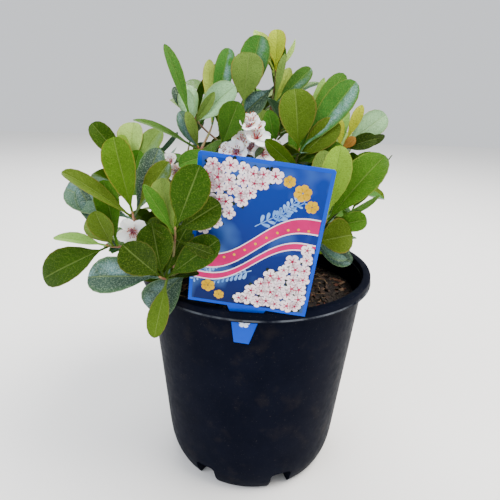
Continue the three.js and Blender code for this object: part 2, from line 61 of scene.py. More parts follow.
# Pot
RIM_TOP = 188.0
RIM_RADIUS = 100.0
MOUTH_RADIUS = 93.5
SKIRT_BOTTOM = 180.8
SKIRT_THICKNESS = 1.6
FLANGE_THICKNESS = 2.0
BEAD_STANDS_OUT = 0.6
BEAD_HEIGHT = 1.6
BEAD_HIGHLIGHT_REACH = 0.6
WALL_RADIUS = 94.4
WALL_THICKNESS = 1.6
WALL_TAPER = 5.17
CORNER_TOP = 35.0
CORNER_MIDDLE = 28.0
FOOT_RADIUS = 71.7
FLOOR_THICKNESS = 2.5
FLOOR_STEP_RADIUS = 48.0
FLOOR_STEP_SLOPE = 2.0
RAISED_FLOOR = 22.0
NOTCH_COUNT = 7
NOTCH_WIDTH = 19.0
NOTCH_HEIGHT = 20.0
NOTCH_CORNER = 4.0
NOTCH_INNER_RADIUS = 54.0
FIRST_NOTCH = -68.4
SLOT_WIDTH = 26.0
SLOT_DEPTH = 2.9
SLOT_EDGE = 0.8
SLOT_TURN = -3.6
POT_SIDES = 160

# Soil, stem and label
SOIL_TOP = 166.0
SOIL_CLEAR = 0.6
SOIL_SIDES = 240
SOIL_RINGS = 54
SOIL_SETTLED = 1.5
SWELL_SIZE = 34
SWELL_RISE = 3.2
LUMP_SIZE = 7
LUMP_RISE = 1.7
EDGE_SINK = 2.0
EDGE_SINK_RADIUS = 90
CHIP_REACH = 84.0
FIBRE_COUNT = 150
FIBRE_REACH = 80
FIBRE_LIMIT = 88
STEM_FOOT = Vector((-14.0, 4.0, SOIL_TOP))
STEM_TOP = Vector((-11.0, 0.0, 214.0))
STEM_GAP = 0.3
STEM_SUNK = 3.0
STEM_FOOT_RADIUS = 6.0
STEM_TOP_RADIUS = 4.4
STEM_FLARE = 3.0
BOUGH_ROOT_RADIUS = 2.6
BOUGH_TIP_RADIUS = 1.7
STEM_RIDGES = 0.45
BOUGH_RIDGES = 0.22
RIDGE_WIDTH = 2.2
RIDGE_LENGTH = 5
TWIG_ROOT_RADIUS = 1.2
TWIG_TIP_RADIUS = 0.65
TWIG_SWELL = 0.16
BUD_LENGTH = 2.3
CARD_WIDTH = 82.0
CARD_HEIGHT = 105.0
CARD_THICKNESS = 0.6
CARD_CORNER = 1.2
CARD_BEVEL = 0.12
CARD_FOOT = Vector((-6.0, -96.6, 191.0))
CARD_LEAN = 7.0
CARD_ROLL = 5.8
CARD_YAW = -2.2
CARD_BORDER = 2.4
INK_STEP = 0.05
DISC_SIDES = 8
ROSETTE_ROWS = 7
ROSETTE_STEP_X = 6.6
ROSETTE_STEP_Z = 6.9
INK_GLOSS = {"Roughness": 0.32, "IOR": 1.5, "Specular_IOR_Level": 0.1}
TONGUE_WIDTH = 27.0
TONGUE_NECK = 22.0
TONGUE_TIP_WIDTH = 11.0
TONGUE_LENGTH = 31.0
TONGUE_SHOULDER = 5.0

# Growth, by the same rule as the part's source
BOUGH_SAG = 0.12
FORK_PLACE = 0.45
BOUGH_GAP = 0.36
SIDE_SHOOT_LEAVES = 5
FIRST_SIDE_SHOOT = 0.3
SIDE_SHOOT_SPAN = 0.55
SIDE_SHOOT_ALONG = 0.75
SIDE_SHOOT_OUT = 0.66
SIDE_SHOOT_REACH = 30.0
SIDE_SHOOT_SPREAD = 10.0
SIDE_SHOOT_SAG = 4.0
GOLDEN_ANGLE = 137.5
LEAF_SPACING = 1.4
LEAF_ARCH = 0.1
LEAF_FOLD = 0.22
RULED_OPENING = (28, 48, 14)
RULED_LENGTH = (34, 15, 8)
RULED_WIDTH = (0.43, 0, 0.14)
TURNS_ASIDE = (0, 24, -24, 48, -48)
GLARING_SHARE = 0.14
BOUGH_PLACES = (0.45, 0.6, 0.75, 0.9)
MOST_LEAVES = 4000
VIEWER = Vector((0, -0.9, 0.43))
UP = Vector((0, 0, 1))
BACK = Vector((0, 1, 0))

# A leaf: its cross-sections and the end of its stalk as shares of its length, the places across
# it as shares of its half width, its side veins, its thicknesses, and where a slim leaf begins
LEAF_STATIONS = np.array([0, 0.02, 0.14, 0.23, 0.35, 0.49, 0.63, 0.76, 0.87, 0.945, 0.985, 1])
LEAF_ACROSS = np.array([-1, -0.55, 0, 0.55, 1])
PETIOLE = 0.16
PETIOLE_HALF = 0.75
PETIOLE_THICKNESS = 0.55
VEIN_PAIRS = 9.0
VEIN_SLANT = 4.4
BLADE_THICKNESS = 0.45
BLADE_RISE = 0.12
MIDRIB_DEPTH = 0.75
SLIM_WIDTH = 12

# Blossom. A petal's length is a share of the flower's width, its rows and half widths are
# shares of its own length, and the flowers open further, in degrees, the wider they are.
PETAL_COUNT = 5
PETAL_SHARE = 0.56
PETAL_ROWS = np.array([0, 0.2, 0.45, 0.7, 0.9, 1.0])
PETAL_HALF_WIDTHS = np.array([0.08, 0.22, 0.4, 0.47, 0.34, 0.08])
PETAL_ACROSS = np.array([-1, -0.5, 0, 0.5, 1])
PETAL_THICKNESS = 0.25
NARROWEST_FLOWER = 9
LEAST_OPEN = 28
MOST_OPEN = 48
OPENING_BY_WIDTH = 1.4
STAMEN_COUNT = 15

# Leaf tones, each with the colour of its upper side and of its rim. A whole leaf has one tone.
TONES = {
    # The shade tone is the forest green made darker: painted shade for the leaves low at the front
    # left.
    "shade": ("#1f3a06", "#5c5a24"),
    "forest": ("#244206", "#6a6024"),
    "dark": ("#24390f", "#56602c"),
    "deep": ("#356218", "#6f6a2c"),
    "mid": ("#356622", "#7c7a34"),
    "bright": ("#3c6c15", "#7f8a3a"),
    "fresh": ("#45680f", "#8f7230"),
    "olive": ("#486016", "#7f6430"),
    "moss": ("#668036", "#8c6434"),
    "spring": ("#7a9a2a", "#8f9440"),
    "lime": ("#80a84c", "#a09048"),
    "light": ("#accf68", "#b0904c"),
    "yellow": ("#9ab046", "#a4583a"),
    "gold": ("#b0b42c", "#a8683a"),
    "ripe": ("#9dab26", "#b8503a"),
    "amber": ("#cf9440", "#b0502a"),
    # The blue, grey and silver tones owe their blue-grey cast to a painted sheen of the sky on the
    # wax, over the leaf's green.
    "blue": ("#273e33", "#66805a"),
    "grey": ("#4a6c58", "#7c8a5c"),
    "silver": ("#92c48c", "#9aa060"),
}
PAINTED_SHEEN_TONES = ("blue", "grey", "silver")

# Each mass: its name, the height on the stem where its bough starts, the bough's tip, the
# number of side shoots that the rule adds, a seed, and its shoots. A shoot has its tip, the way
# it points there as (clock, lean), the number of leaves that the rule adds, and its leaves as
# (clock, lean, length, width, face, tone). Clock is the way the leaf points as the viewer sees
# it, in degrees from straight up to the right, lean is towards the viewer, and face is how far
# the leaf is turned about its length. A seventh value is how much further down the shoot the
# leaf sits, and an eighth how strong a painted glare of the sky is on one half of it, below
# zero on the other half. Flowers are (clock, lean, stalk, width).
MASSES = [
    {"name": "front_left", "height": 177, "tip": (-44, -70, 208), "sides": 2, "seed": 20, "shoots": [
        {"at": (-61, -114, 219), "points": (-20, 50), "spare": 1, "leaves": [
            (-87, 5, 47, 26, 20, "blue", 0, 1), (-38, 23, 34, 23, 0, "shade"),
            (-8, 4, 37, 23, 10, "shade"), (20, -15, 37, 20, -10, "shade"),
            (49, 6, 45, 20, 0, "shade"), (73, 0, 22, 8, -60, "shade"),
            (194, 2, 43, 14.5, 165, "olive"), (-136, 12, 44, 27, 0, "blue", 28, 0.5)]},
        {"at": (-51, -112, 251), "points": (5, 25), "spare": 1, "leaves": [
            (21, 9, 44, 24.5, 0, "forest"), (54, 2, 33, 21, 0, "shade"),
            (-17, -6, 35, 17, -10, "moss"), (-25, 12, 37, 10, 30, "deep"),
            (-68, -12, 21, 12, 0, "forest"), (109, 14, 27, 9, 35, "shade"),
            (-52, 20, 15, 6, 20, "shade")]}]},
    {"name": "left", "height": 183, "tip": (-60, -48, 214), "sides": 3, "seed": 40, "shoots": [
        {"at": (-84, -88, 253), "points": (-8, 20), "spare": 3, "leaves": [
            (-10, 6, 51, 21, 0, "fresh"), (31, 2, 44, 16, -20, "olive", 0, 0.5),
            (18, -15, 50, 17, 20, "blue", 0, 0.4), (-47, 12, 54, 13, 35, "olive"),
            (-69, -8, 57, 21, 0, "grey", 0, 0.8)],
         "flowers": [(134, 68, 21, 19)]},
        {"at": (-103, -86, 229), "points": (-60, 15), "spare": 2, "leaves": [
            (-114, 11, 53.5, 26, 15, "forest"), (-79, -2, 42, 11, 40, "lime"),
            (-15, 25, 30, 17, 0, "olive"), (-31, -5, 48, 15, 15, "blue", 0, -0.6),
            (-7, 5, 47, 17, 0, "bright"), (-58, -12, 32, 14, 0, "moss"),
            (-165, 10, 12, 5, 30, "dark")]}]},
    {"name": "left_back", "height": 190, "tip": (-58, -14, 232), "sides": 3, "seed": 61, "shoots": [
        {"at": (-101, -35, 275), "points": (-20, 5), "spare": 4, "leaves": [
            (-35, 8, 41, 16, 0, "forest"), (3, -10, 36, 21, 0, "light"),
            (-10, 12, 28, 12, 0, "spring"), (33, 5, 41, 17.5, 0, "lime", 0, 0.4),
            (20, 12, 20, 13, 0, "bright"), (51, 12, 50, 5, 65, "grey")]}]},
    {"name": "top_left", "height": 202, "tip": (-38, -26, 256), "sides": 3, "seed": 80, "shoots": [
        {"at": (-50, -50, 312), "points": (-5, 0), "spare": 1, "leaves": [
            (-15, 5, 52, 10.5, 40, "mid"), (-26, -8, 28, 9, 20, "blue"),
            (46, 12, 41, 20, 0, "silver"), (36, 20, 30, 7, 30, "moss"),
            (-12, -5, 28, 12, 0, "silver"), (-7, -20, 35, 12, 10, "silver")]},
        {"at": (-45, -50, 293), "points": (-20, 20), "spare": 0, "leaves": [
            (-60, 8, 49, 8, 45, "deep"), (-24, 15, 30, 12, 0, "grey", 0, -0.6),
            (-12, 22, 30, 8, 10, "moss")]},
        {"at": (-38, -20, 309), "points": (10, 0), "spare": 1, "leaves": [
            (-4, -5, 47, 11, 0, "yellow"), (12, -5, 58, 15, 0, "mid", 0, 1)]},
        {"at": (-58, -58, 279), "points": (-30, 25), "spare": 0, "leaves": [
            (-48, 5, 23, 8, 30, "dark")],
         "flowers": [(-34, 56, 10, 14), (97, 80, 12, 15), (57, 29, 13, 15)]}]},
    {"name": "top", "height": 206, "tip": (-8, -10, 270), "sides": 3, "seed": 100, "shoots": [
        {"at": (9, -15, 327), "points": (5, 0), "spare": 2, "leaves": [
            (3, 3, 42, 11.5, -15, "deep"), (8, 12, 35, 6, 0, "lime"),
            (44, 2, 38, 13, 0, "mid", 0, 0.6), (22, -4, 31, 9, 10, "yellow")]},
        {"at": (8.5, -15, 347), "points": (0, 0), "spare": 1, "leaves": [
            (0, 0, 30, 13.5, 0, "ripe"), (-20, -5, 33, 10, 25, "yellow"),
            (-26, -10, 38, 9, 0, "light"), (31, 0, 31, 5, 60, "light"),
            (-131, 10, 31, 17, 0, "blue", 4, 0.9)]},
        {"at": (-15, -25, 322), "points": (0, 5), "spare": 2, "leaves": [
            (6, 6, 38, 24, 0, "moss"), (11, -4, 53, 23, -12, "mid", 0, 0.5)]}]},
    {"name": "centre", "height": 196, "tip": (-12, -42, 250), "sides": 3, "seed": 120, "shoots": [
        {"at": (-7, -78, 293), "points": (0, 25), "spare": 0, "leaves": [
            (24, 66, 33, 6, 20, "dark", 4)],
         "flowers": [
            (-3, 12, 18, 15), (13, 2, 16, 13), (17, 26, 12, 17), (-34, 16, 9, 14), (-5, 40, 5, 14),
            (-76, 36, 10, 16), (78, 40, 10, 17), (70, 10, 14, 13), (-82, 12, 14, 12),
            (0, 4, 21, 11)]},
        {"at": (-27, -76, 296), "points": (-5, 10), "spare": 0, "leaves": [
            (20, 18, 34, 18, 0, "deep"), (-103, 14, 29, 14, 10, "deep")]},
        {"at": (10, -66, 298), "points": (0, 10), "spare": 0, "leaves": [
            (-14, 12, 25, 11.5, 0, "deep")]}]},
    {"name": "right_front", "height": 187, "tip": (14, -36, 246), "sides": 3, "seed": 140, "shoots": [
        {"at": (26, -62, 295), "points": (10, 15), "spare": 2, "leaves": [
            (-6, 5, 41, 25.5, 0, "olive"), (35, 0, 60, 20, -10, "mid", 0, 1),
            (27, -14, 66, 16, 0, "deep"), (18, -18, 61, 8, 0, "lime"), (10, -12, 42, 15, 0, "mid"),
            (42, 10, 38, 18, 0, "olive"), (67, 14, 34, 15, 0, "deep")]},
        {"at": (31, -93, 282), "points": (10, 35), "spare": 0, "leaves": [
            (-51, 10, 37, 10, -20, "fresh")]}]},
    {"name": "right", "height": 179, "tip": (28, -46, 214), "sides": 3, "seed": 160, "shoots": [
        {"at": (46, -80, 250), "points": (20, 20), "spare": 1, "leaves": [
            (6, 5, 52, 20, 0, "spring"), (34, 0, 60, 25, -15, "bright"),
            (48, -10, 68, 4, 60, "dark"), (60, 6, 43, 6, 50, "deep"),
            (72, 10, 31, 14, 0, "bright"), (-1, -6, 54, 18, 0, "moss")]},
        {"at": (40, -82, 236), "points": (60, 30), "spare": 1, "leaves": [
            (69, 14, 26, 25, 0, "olive"), (104, 8, 27, 14, 10, "grey", 0, 0.5),
            (113, 12, 31, 13, 10, "blue", 0, 0.4)]}]},
    {"name": "right_back", "height": 203, "tip": (34, -4, 256), "sides": 3, "seed": 194, "shoots": [
        {"at": (65, -20, 297), "points": (25, 5), "spare": 3, "leaves": [
            (18, 5, 31, 8.5, 0, "gold"), (51, -5, 40, 20, 0, "silver"), (75, 5, 33, 9, 30, "dark"),
            (66, 22, 27, 13, 0, "dark"), (40, 26, 15, 7.5, 0, "amber"), (-3, 8, 24, 6, 0, "gold"),
            (8, -10, 36, 8, 0, "lime")]}]},
    {"name": "back_right", "height": 187, "tip": (44, 40, 226), "sides": 4, "seed": 200, "shoots": [
        {"at": (76, 58, 264), "points": (45, -35), "spare": 6, "leaves": []}]},
    {"name": "back", "height": 209, "tip": (-10, 40, 262), "sides": 4, "seed": 220, "shoots": [
        {"at": (-4, 66, 318), "points": (5, -25), "spare": 6, "leaves": []}]},
    {"name": "back_left", "height": 195, "tip": (-58, 38, 230), "sides": 4, "seed": 240, "shoots": [
        {"at": (-88, 62, 270), "points": (-40, -35), "spare": 6, "leaves": []}]},
    {"name": "back_low", "height": 178, "tip": (-10, 70, 210), "sides": 4, "seed": 260, "shoots": [
        {"at": (-4, 102, 238), "points": (0, -50), "spare": 6, "leaves": []}]},
    {"name": "inner_back", "height": 194, "tip": (12, 20, 226), "sides": 4, "seed": 280, "shoots": [
        {"at": (26, 36, 262), "points": (20, -30), "spare": 6, "leaves": []}]},
]

# Rings of shoots that fill the crown all round: their height, reach, number and first turn
CROWN_MIDDLE = (-14, 16)
FILL_RINGS = [
    (216, 84, 13, 0), (228, 104, 14, 12), (240, 62, 9, 25), (250, 100, 13, 0), (262, 80, 10, 15),
    (266, 44, 7, 5), (286, 64, 9, 20), (292, 26, 4, 40), (308, 42, 6, 10), (326, 20, 3, 60),
]
FILL_JITTER = 7.0
FILL_TURN_JITTER = 9
FILL_UPRIGHT_REACH = 90
FILL_UPRIGHT = 0.9
FILL_LEAVES = 8
FEWEST_LEAVES = 3

# Room that growth by the rule is given round a mass, and keeps to the card, the rim and a leaf
# in sight, in millimetres. Its shoots' tips keep some pixels to the places in the list below.
MASS_ROOM = 1.5
CARD_ROOM = 1
ROOM_OVER_RIM = 2
ROOM_ROUND_RIM = 3
SIGHT_GAP = 0.3
TIP_ROOM = 3

# Places in the photograph's frame, with a radius, where sky or soil shows past the leaves
OPEN_VIEWS = [
    (322, 280, 20), (342, 286, 14), (300, 292, 8), (170, 141, 8), (183, 146, 6), (163, 129, 4),
    (207, 136, 5), (126, 210, 5), (115, 215, 6), (148, 202, 4), (132, 199, 3), (262, 85, 5),
    (358, 231, 5), (360, 245, 6), (372, 205, 7), (362, 212, 4), (375, 284, 6), (347, 121, 3),
    (243, 103, 3), (388, 180, 8), (210, 118, 3), (361, 107, 3), (364, 228, 5),
    (75, 145, 26), (40, 205, 24), (62, 215, 6), (110, 92, 26), (148, 78, 24), (152, 108, 12),
    (172, 84, 7), (175, 118, 4), (173, 141, 5), (209, 128, 4), (128, 120, 3), (105, 305, 14),
    (60, 305, 16), (140, 300, 6), (30, 240, 12), (200, 46, 10), (226, 34, 10), (250, 18, 14),
    (312, 44, 14), (322, 62, 5), (345, 56, 16), (378, 92, 12), (404, 130, 16), (398, 190, 14),
    (370, 222, 8), (384, 250, 14), (248, 105, 4), (271, 77, 3), (283, 138, 4), (349, 118, 3),
    (374, 148, 4), (351, 200, 3), (117, 206, 6), (99, 238, 4), (66, 258, 3),
]
MASS_NODES = [f"foliage_{mass['name']}" for mass in MASSES]


# Small helpers for numbers, curves and colours
def chance(seed):
    wave = math.sin(seed * 12.9898) * 43758.5453
    return wave - math.floor(wave)


def spread(low, high, seed):
    return low + (high - low) * chance(seed)


def pointing(clock, lean):
    level = math.cos(math.radians(lean))
    turn = math.radians(clock)
    return Vector((level * math.sin(turn), -math.sin(math.radians(lean)), level * math.cos(turn)))


def square_to(axis, vector):
    return (vector - axis * axis.dot(vector)).normalized()


def turned_about(vector, axis, degrees):
    return Matrix.Rotation(math.radians(degrees), 3, axis) @ vector


def on_curve(controls, t):
    points = list(controls)
    while len(points) > 1:
        points = [a.lerp(b, t) for a, b in zip(points, points[1:])]
    return points[0]


def curve_way(controls, t):
    step = 0.001
    low = max(t - step, 0)
    high = min(t + step, 1)
    return (on_curve(controls, high) - on_curve(controls, low)).normalized()


def before_tip(controls, distance):
    """The point that lies this far before the curve's tip, measured along it."""
    steps = 80
    last = on_curve(controls, 1)
    for i in range(steps - 1, -1, -1):
        point = on_curve(controls, i / steps)
        stretch = (last - point).length
        if stretch >= distance:
            return last.lerp(point, distance / stretch)
        distance -= stretch
        last = point
    return last


def linear(hex_code):
    """An sRGB hex colour as linear red, green, blue and alpha."""
    channels = [int(hex_code[i:i + 2], 16) / 255 for i in (1, 3, 5)]
    toned = [c / 12.92 if c <= 0.04045 else ((c + 0.055) / 1.055) ** 2.4 for c in channels]
    return (*toned, 1.0)


# Small helpers for materials
def plug(tree, node, inputs):
    """Gives a node's inputs, by name or by number, a value or a link from another node."""
    for name, value in inputs.items():
        if isinstance(name, int):
            socket = node.inputs[name]
        else:
            socket = next(one for one in node.inputs if one.name == name and one.enabled)
        if isinstance(value, bpy.types.Node):
            value = next(output for output in value.outputs if output.enabled)
        if isinstance(value, bpy.types.NodeSocket):
            tree.links.new(value, socket)
        else:
            socket.default_value = value


def add(tree, kind, inputs, **settings):
    """Adds a shader node with its settings, values and links."""
    made = tree.nodes.new("ShaderNode" + kind)
    for name, value in settings.items():
        setattr(made, name, value)
    plug(tree, made, inputs)
    return made


def material_for(name, **constants):
    """A material with its shader's constants set. Returns it, its node tree and its shader."""
    material = bpy.data.materials.new(name)
    material.use_nodes = True
    tree = material.node_tree
    shader = tree.nodes["Principled BSDF"]
    for socket, value in constants.items():
        shader.inputs[socket.replace("_", " ")].default_value = value
    return material, tree, shader


def patches(tree, size, low=0.35, high=0.65, detail=3, to=(0, 1)):
    """Patches about this many millimetres across, as a mask with soft edges."""
    place = add(tree, "TexCoord", {}).outputs["Object"]
    lumps = add(tree, "TexNoise", {
        "Vector": place, "Scale": 1 / (size * MM), "Detail": detail, "Roughness": 0.6})
    return add(tree, "MapRange", {
        "Value": lumps, "From Min": low, "From Max": high, "To Min": to[0], "To Max": to[1]})


def painted(tree, base, *coats):
    """A colour with coats laid over it. Each coat is its mask, its strength and its colour."""
    colour = linear(base) if isinstance(base, str) else base
    for mask, strength, coat in coats:
        share = add(tree, "Math", {0: mask, 1: strength}, operation="MULTIPLY")
        mix = {"Factor": share, "A": colour, "B": linear(coat)}
        colour = add(tree, "Mix", mix, data_type="RGBA")
    return colour


def relief(tree, height, depth, strength=1.0):
    return add(tree, "Bump", {"Height": height, "Distance": depth * MM, "Strength": strength})


# Materials of the leaves. A leaf's own map runs from 0 to 1 across it and along it.
def leaf_masks(tree):
    """Masks for a leaf's midrib, side veins, margin, an edge with painted shade and a half with
    painted glare.
    """
    place = add(tree, "UVMap", {}, uv_map="blade")
    split = add(tree, "SeparateXYZ", {"Vector": place})
    across = split.outputs["X"]
    inward = add(tree, "Math", {0: across, 1: 0.5}, operation="PINGPONG")
    ladder = add(tree, "Math", {0: split.outputs["Y"], 1: VEIN_PAIRS}, operation="MULTIPLY")
    slant = add(tree, "Math", {0: inward, 1: VEIN_SLANT, 2: ladder}, operation="MULTIPLY_ADD")
    slant = add(tree, "Math", {0: slant, 1: patches(tree, 5, 0, 1, 2)}, operation="ADD")
    rungs = add(tree, "Math", {0: slant, 1: 0.5}, operation="PINGPONG")
    shine = add(tree, "Attribute", {}, attribute_name="shine").outputs["Fac"]
    aside = add(tree, "Math", {0: across, 1: 0.5}, operation="SUBTRACT")
    aside = add(tree, "Math", {0: aside, 1: shine}, operation="MULTIPLY")
    bands = {"midrib": (inward, 0.47, 0.494), "margin": (inward, 0.045, 0.01),
             "edge": (inward, 0.2, 0.03), "inside": (inward, 0.04, 0.26),
             "veins": (rungs, 0.1, 0.0), "half": (aside, 0.0, 0.09)}
    masks = {}
    for name, (value, start, full) in bands.items():
        masks[name] = add(tree, "MapRange", {"Value": value, "From Min": start, "From Max": full})
    power = add(tree, "Math", {0: shine}, operation="ABSOLUTE")
    glare = add(tree, "Math", {0: masks["half"], 1: masks["inside"]}, operation="MULTIPLY")
    masks["glare"] = add(tree, "Math", {0: glare, 1: power}, operation="MULTIPLY")
    return masks


def leaf_shades(tree, base):
    """The leaf's own shade of its tone, with soft patches."""
    deal = add(tree, "Attribute", {}, attribute_name="deal").outputs["Fac"]
    clouds = patches(tree, 12, 0.32, 0.68, 3, (0, 0.45))
    share = add(tree, "Math", {0: deal, 1: 0.55, 2: clouds}, operation="MULTIPLY_ADD")
    value = add(tree, "MapRange", {"Value": share, "To Min": 0.74, "To Max": 1.26})
    hue = add(tree, "MapRange", {"Value": deal, "To Min": 0.49, "To Max": 0.508})
    return add(tree, "HueSaturation", {"Color": linear(base), "Value": value, "Hue": hue})


def leaf_upper(tone):
    """Waxed upper side of a leathery leaf: finely pebbled, with a thin pale midrib.

    A painted silver glare of the sky lies on one half of some leaves, broken up by the pebbles."""
    base, rim = TONES[tone]
    gloss, tint, painted_edge_shade, specks, speck_colour = 0.12, (0.9, 1.0, 0.45, 1.0), 0.0, 0.22, "#86a03a"
    # On the sheen tones the edge gets painted shade where the painted sheen fades, and the pale
    # specks are painted glints; elsewhere the specks are the leaf's pale pebbling.
    if tone in PAINTED_SHEEN_TONES:
        gloss, tint, painted_edge_shade, specks, speck_colour = 0.24, (0.9, 1.0, 0.9, 1.0), 0.4, 0.34, "#a9c2a0"
    material, tree, shader = material_for(
        f"Waxed leaf, {tone}", IOR=1.45, Specular_IOR_Level=gloss, Specular_Tint=tint)
    mask = leaf_masks(tree)
    grit = patches(tree, 0.8, 0.36, 0.64, 2)
    specks_and_glints = patches(tree, 0.8, 0.5, 0.72, 2)
    dark_specks = patches(tree, 0.9, 0.5, 0.3, 2)
    patchy = patches(tree, 8, 0.34, 0.6, 3)
    # A painted reflection of the sky: a teal glare on one half of the leaf, broken into patches, with
    # pale painted glints where the pebbles catch it.
    glare = add(tree, "Math", {0: mask["glare"], 1: patchy}, operation="MULTIPLY")
    bright_glare = add(tree, "Math", {0: glare, 1: grit}, operation="MULTIPLY")
    # Coats: painted edge shade, dark specks, pale specks that are painted glints on the sheen tones,
    # the painted glare and its glints, side veins, midrib and rim.
    colour = painted(
        tree, leaf_shades(tree, base),
        (mask["edge"], painted_edge_shade, "#2f5a20"),
        (dark_specks, 0.4, "#16300c"), (specks_and_glints, specks, speck_colour),
        (glare, 0.62, "#4f7f80"), (bright_glare, 0.42, "#a3bcba"),
        (mask["veins"], 0.08, "#7f9440"), (mask["midrib"], 0.3, "#8aa052"),
        (mask["margin"], 0.55, rim))
    rough = patches(tree, 4, 0.3, 0.7, 3, (0.34, 0.5))
    lines = add(tree, "Math", {0: mask["veins"], 1: 0.45, 2: mask["midrib"]},
                operation="MULTIPLY_ADD")
    pebbles = add(tree, "Math", {0: grit, 1: 0.6}, operation="MULTIPLY")
    height = add(tree, "Math", {0: pebbles, 1: lines}, operation="SUBTRACT")
    plug(tree, shader, {"Base Color": colour, "Roughness": rough,
                        "Normal": relief(tree, height, 0.3, 0.8)})
    return material


def leaf_under(tone):
    """Matt underside of a leathery leaf: paler and yellower, with raised veins."""
    base, rim = TONES[tone]
    material, tree, shader = material_for(f"Leaf underside, {tone}", Roughness=0.62, IOR=1.4,
                                          Specular_IOR_Level=0.2)
    mask = leaf_masks(tree)
    colour = painted(
        tree, leaf_shades(tree, base), (1.0, 0.55, "#74843a"),
        (patches(tree, 1.1, detail=2), 0.2, base), (mask["veins"], 0.25, "#93a457"),
        (mask["margin"], 0.5, rim), (mask["midrib"], 0.6, "#a3b062"))
    height = add(tree, "Math", {0: mask["veins"], 1: 0.6, 2: mask["midrib"]},
                 operation="MULTIPLY_ADD")
    plug(tree, shader, {"Base Color": colour, "Normal": relief(tree, height, 0.3, 0.6)})
    return material


# Materials of wood and blossom
def bark():
    """Grey-brown bark of a young stem: matt, finely cracked, with paler corky specks."""
    material, tree, shader = material_for("Grey-brown bark", Roughness=0.82, IOR=1.45)
    cracks = patches(tree, 1.6, 0.62, 0.36, 5)
    colour = painted(tree, "#5d4838", (patches(tree, 9, detail=2), 1.0, "#7b6a58"),
                     (patches(tree, 2.2, 0.6, 0.7), 0.5, "#94846e"), (cracks, 1.0, "#2f241d"))
    depth = patches(tree, 1.6, 0.36, 0.62, 5)
    plug(tree, shader, {"Base Color": colour, "Normal": relief(tree, depth, 0.5)})
    return material


def young_bark():
    """Bark of this year's shoots: thin, smooth, reddish brown going to green."""
    material, tree, shader = material_for("Young shoot bark", Roughness=0.55, IOR=1.45)
    fine = patches(tree, 0.8)
    colour = painted(tree, "#7a4c35", (patches(tree, 11, 0.4, 0.62, 2), 1.0, "#6d7a38"),
                     (fine, 0.45, "#4c3526"))
    plug(tree, shader, {"Base Color": colour, "Normal": relief(tree, fine, 0.15)})
    return material


def petal():
    """Petal: soft white, thin enough to glow, with faint creases and a pink foot."""
    material, tree, shader = material_for("White petal", Roughness=0.6, IOR=1.4,
                                          Subsurface_Weight=0.25, Subsurface_Scale=0.002)
    place = add(tree, "UVMap", {}, uv_map="blade")
    along = add(tree, "SeparateXYZ", {"Vector": place}).outputs["Y"]
    foot = add(tree, "MapRange", {"Value": along, "From Min": 0.24, "From Max": 0.02})
    creases = patches(tree, 1.6, 0.3, 0.7)
    colour = painted(tree, "#fdfcf8", (creases, 0.14, "#ebe6dc"), (foot, 0.7, "#c8657c"))
    plug(tree, shader, {"Base Color": colour, "Normal": relief(tree, creases, 0.2, 0.5)})
    return material


def plain_finish(name, colour, roughness, size, amount, other):
    """A matt finish of one colour, broken up by patches of another."""
    material, tree, shader = material_for(name, Roughness=roughness, IOR=1.45)
    plug(tree, shader, {"Base Color": painted(tree, colour, (patches(tree, size), amount, other))})
    return material


# Materials of the pot, soil and label
def pot_plastic():
    """Moulded recycled polypropylene: blue-black, with the low sheen of a fine-grained mould.

    It is scuffed brown and specked with dust, with a pale painted highlight along the skirt's bead."""
    material, tree, shader = material_for("Moulded black polypropylene", IOR=1.06)
    place = add(tree, "TexCoord", {}).outputs["Object"]
    height = add(tree, "SeparateXYZ", {"Vector": place}).outputs["Z"]
    bead_top = (SKIRT_BOTTOM + BEAD_HEIGHT) * MM
    bead = add(tree, "Math", {0: height, 1: bead_top, 2: BEAD_HIGHLIGHT_REACH * MM}, operation="COMPARE")
    bead_highlight = add(tree, "Math", {0: bead, 1: patches(tree, 16, 0.36, 0.6)}, operation="MULTIPLY")
    # A pale painted highlight runs round the top of the skirt's bead, broken into patches.
    colour = painted(
        tree, "#070a16", (patches(tree, 30, 0.35, 0.7, 4), 1.0, "#0c0f1b"),
        (patches(tree, 18, 0.55, 0.75, 5), 0.3, "#2c2826"),
        (patches(tree, 1.2, 0.66, 0.74, 2), 0.3, "#4a4642"), (bead_highlight, 0.3, "#8a9098"))
    rough = patches(tree, 6, 0.3, 0.7, 4, (0.36, 0.52))
    skin = patches(tree, 0.8, 0, 1)
    plug(tree, shader, {"Base Color": colour, "Roughness": rough,
                        "Normal": relief(tree, skin, 0.04, 0.5)})
    return material


def potting_mix():
    """Moist composted bark: almost black, matt, crumbly."""
    material, tree, shader = material_for("Moist potting mix", Roughness=0.9, IOR=1.4)
    crumbs = patches(tree, 2.2, detail=5)
    colour = painted(tree, "#0c0a0a", (crumbs, 1.0, "#2a211d"), (patches(tree, 16), 0.4, "#241b18"))
    plug(tree, shader, {"Base Color": colour, "Normal": relief(tree, crumbs, 1.0)})
    return material


def print_ink(name, colour, other, size=26):
    """Gloss ink on a plastic card, with a soft change of tone."""
    material, tree, shader = material_for(name, **INK_GLOSS)
    plug(tree, shader, {"Base Color": painted(tree, colour, (patches(tree, size), 1.0, other))})
    return material


def graded_ink(name, low_colour, high_colour, glow_colour):
    """Gloss ink that goes from one blue at the card's foot to another, with paler clouds."""
    material, tree, shader = material_for(name, **INK_GLOSS)
    place = add(tree, "TexCoord", {}).outputs["Object"]
    height = add(tree, "SeparateXYZ", {"Vector": place}).outputs["Z"]
    rise = add(tree, "MapRange", {
        "Value": height, "From Min": CARD_FOOT.z * MM, "From Max": (CARD_FOOT.z + CARD_HEIGHT) * MM})
    colour = painted(tree, low_colour, (rise, 1.0, high_colour),
                     (patches(tree, 34, 0.5, 0.76, 2), 0.5, glow_colour))
    plug(tree, shader, {"Base Color": colour})
    return material


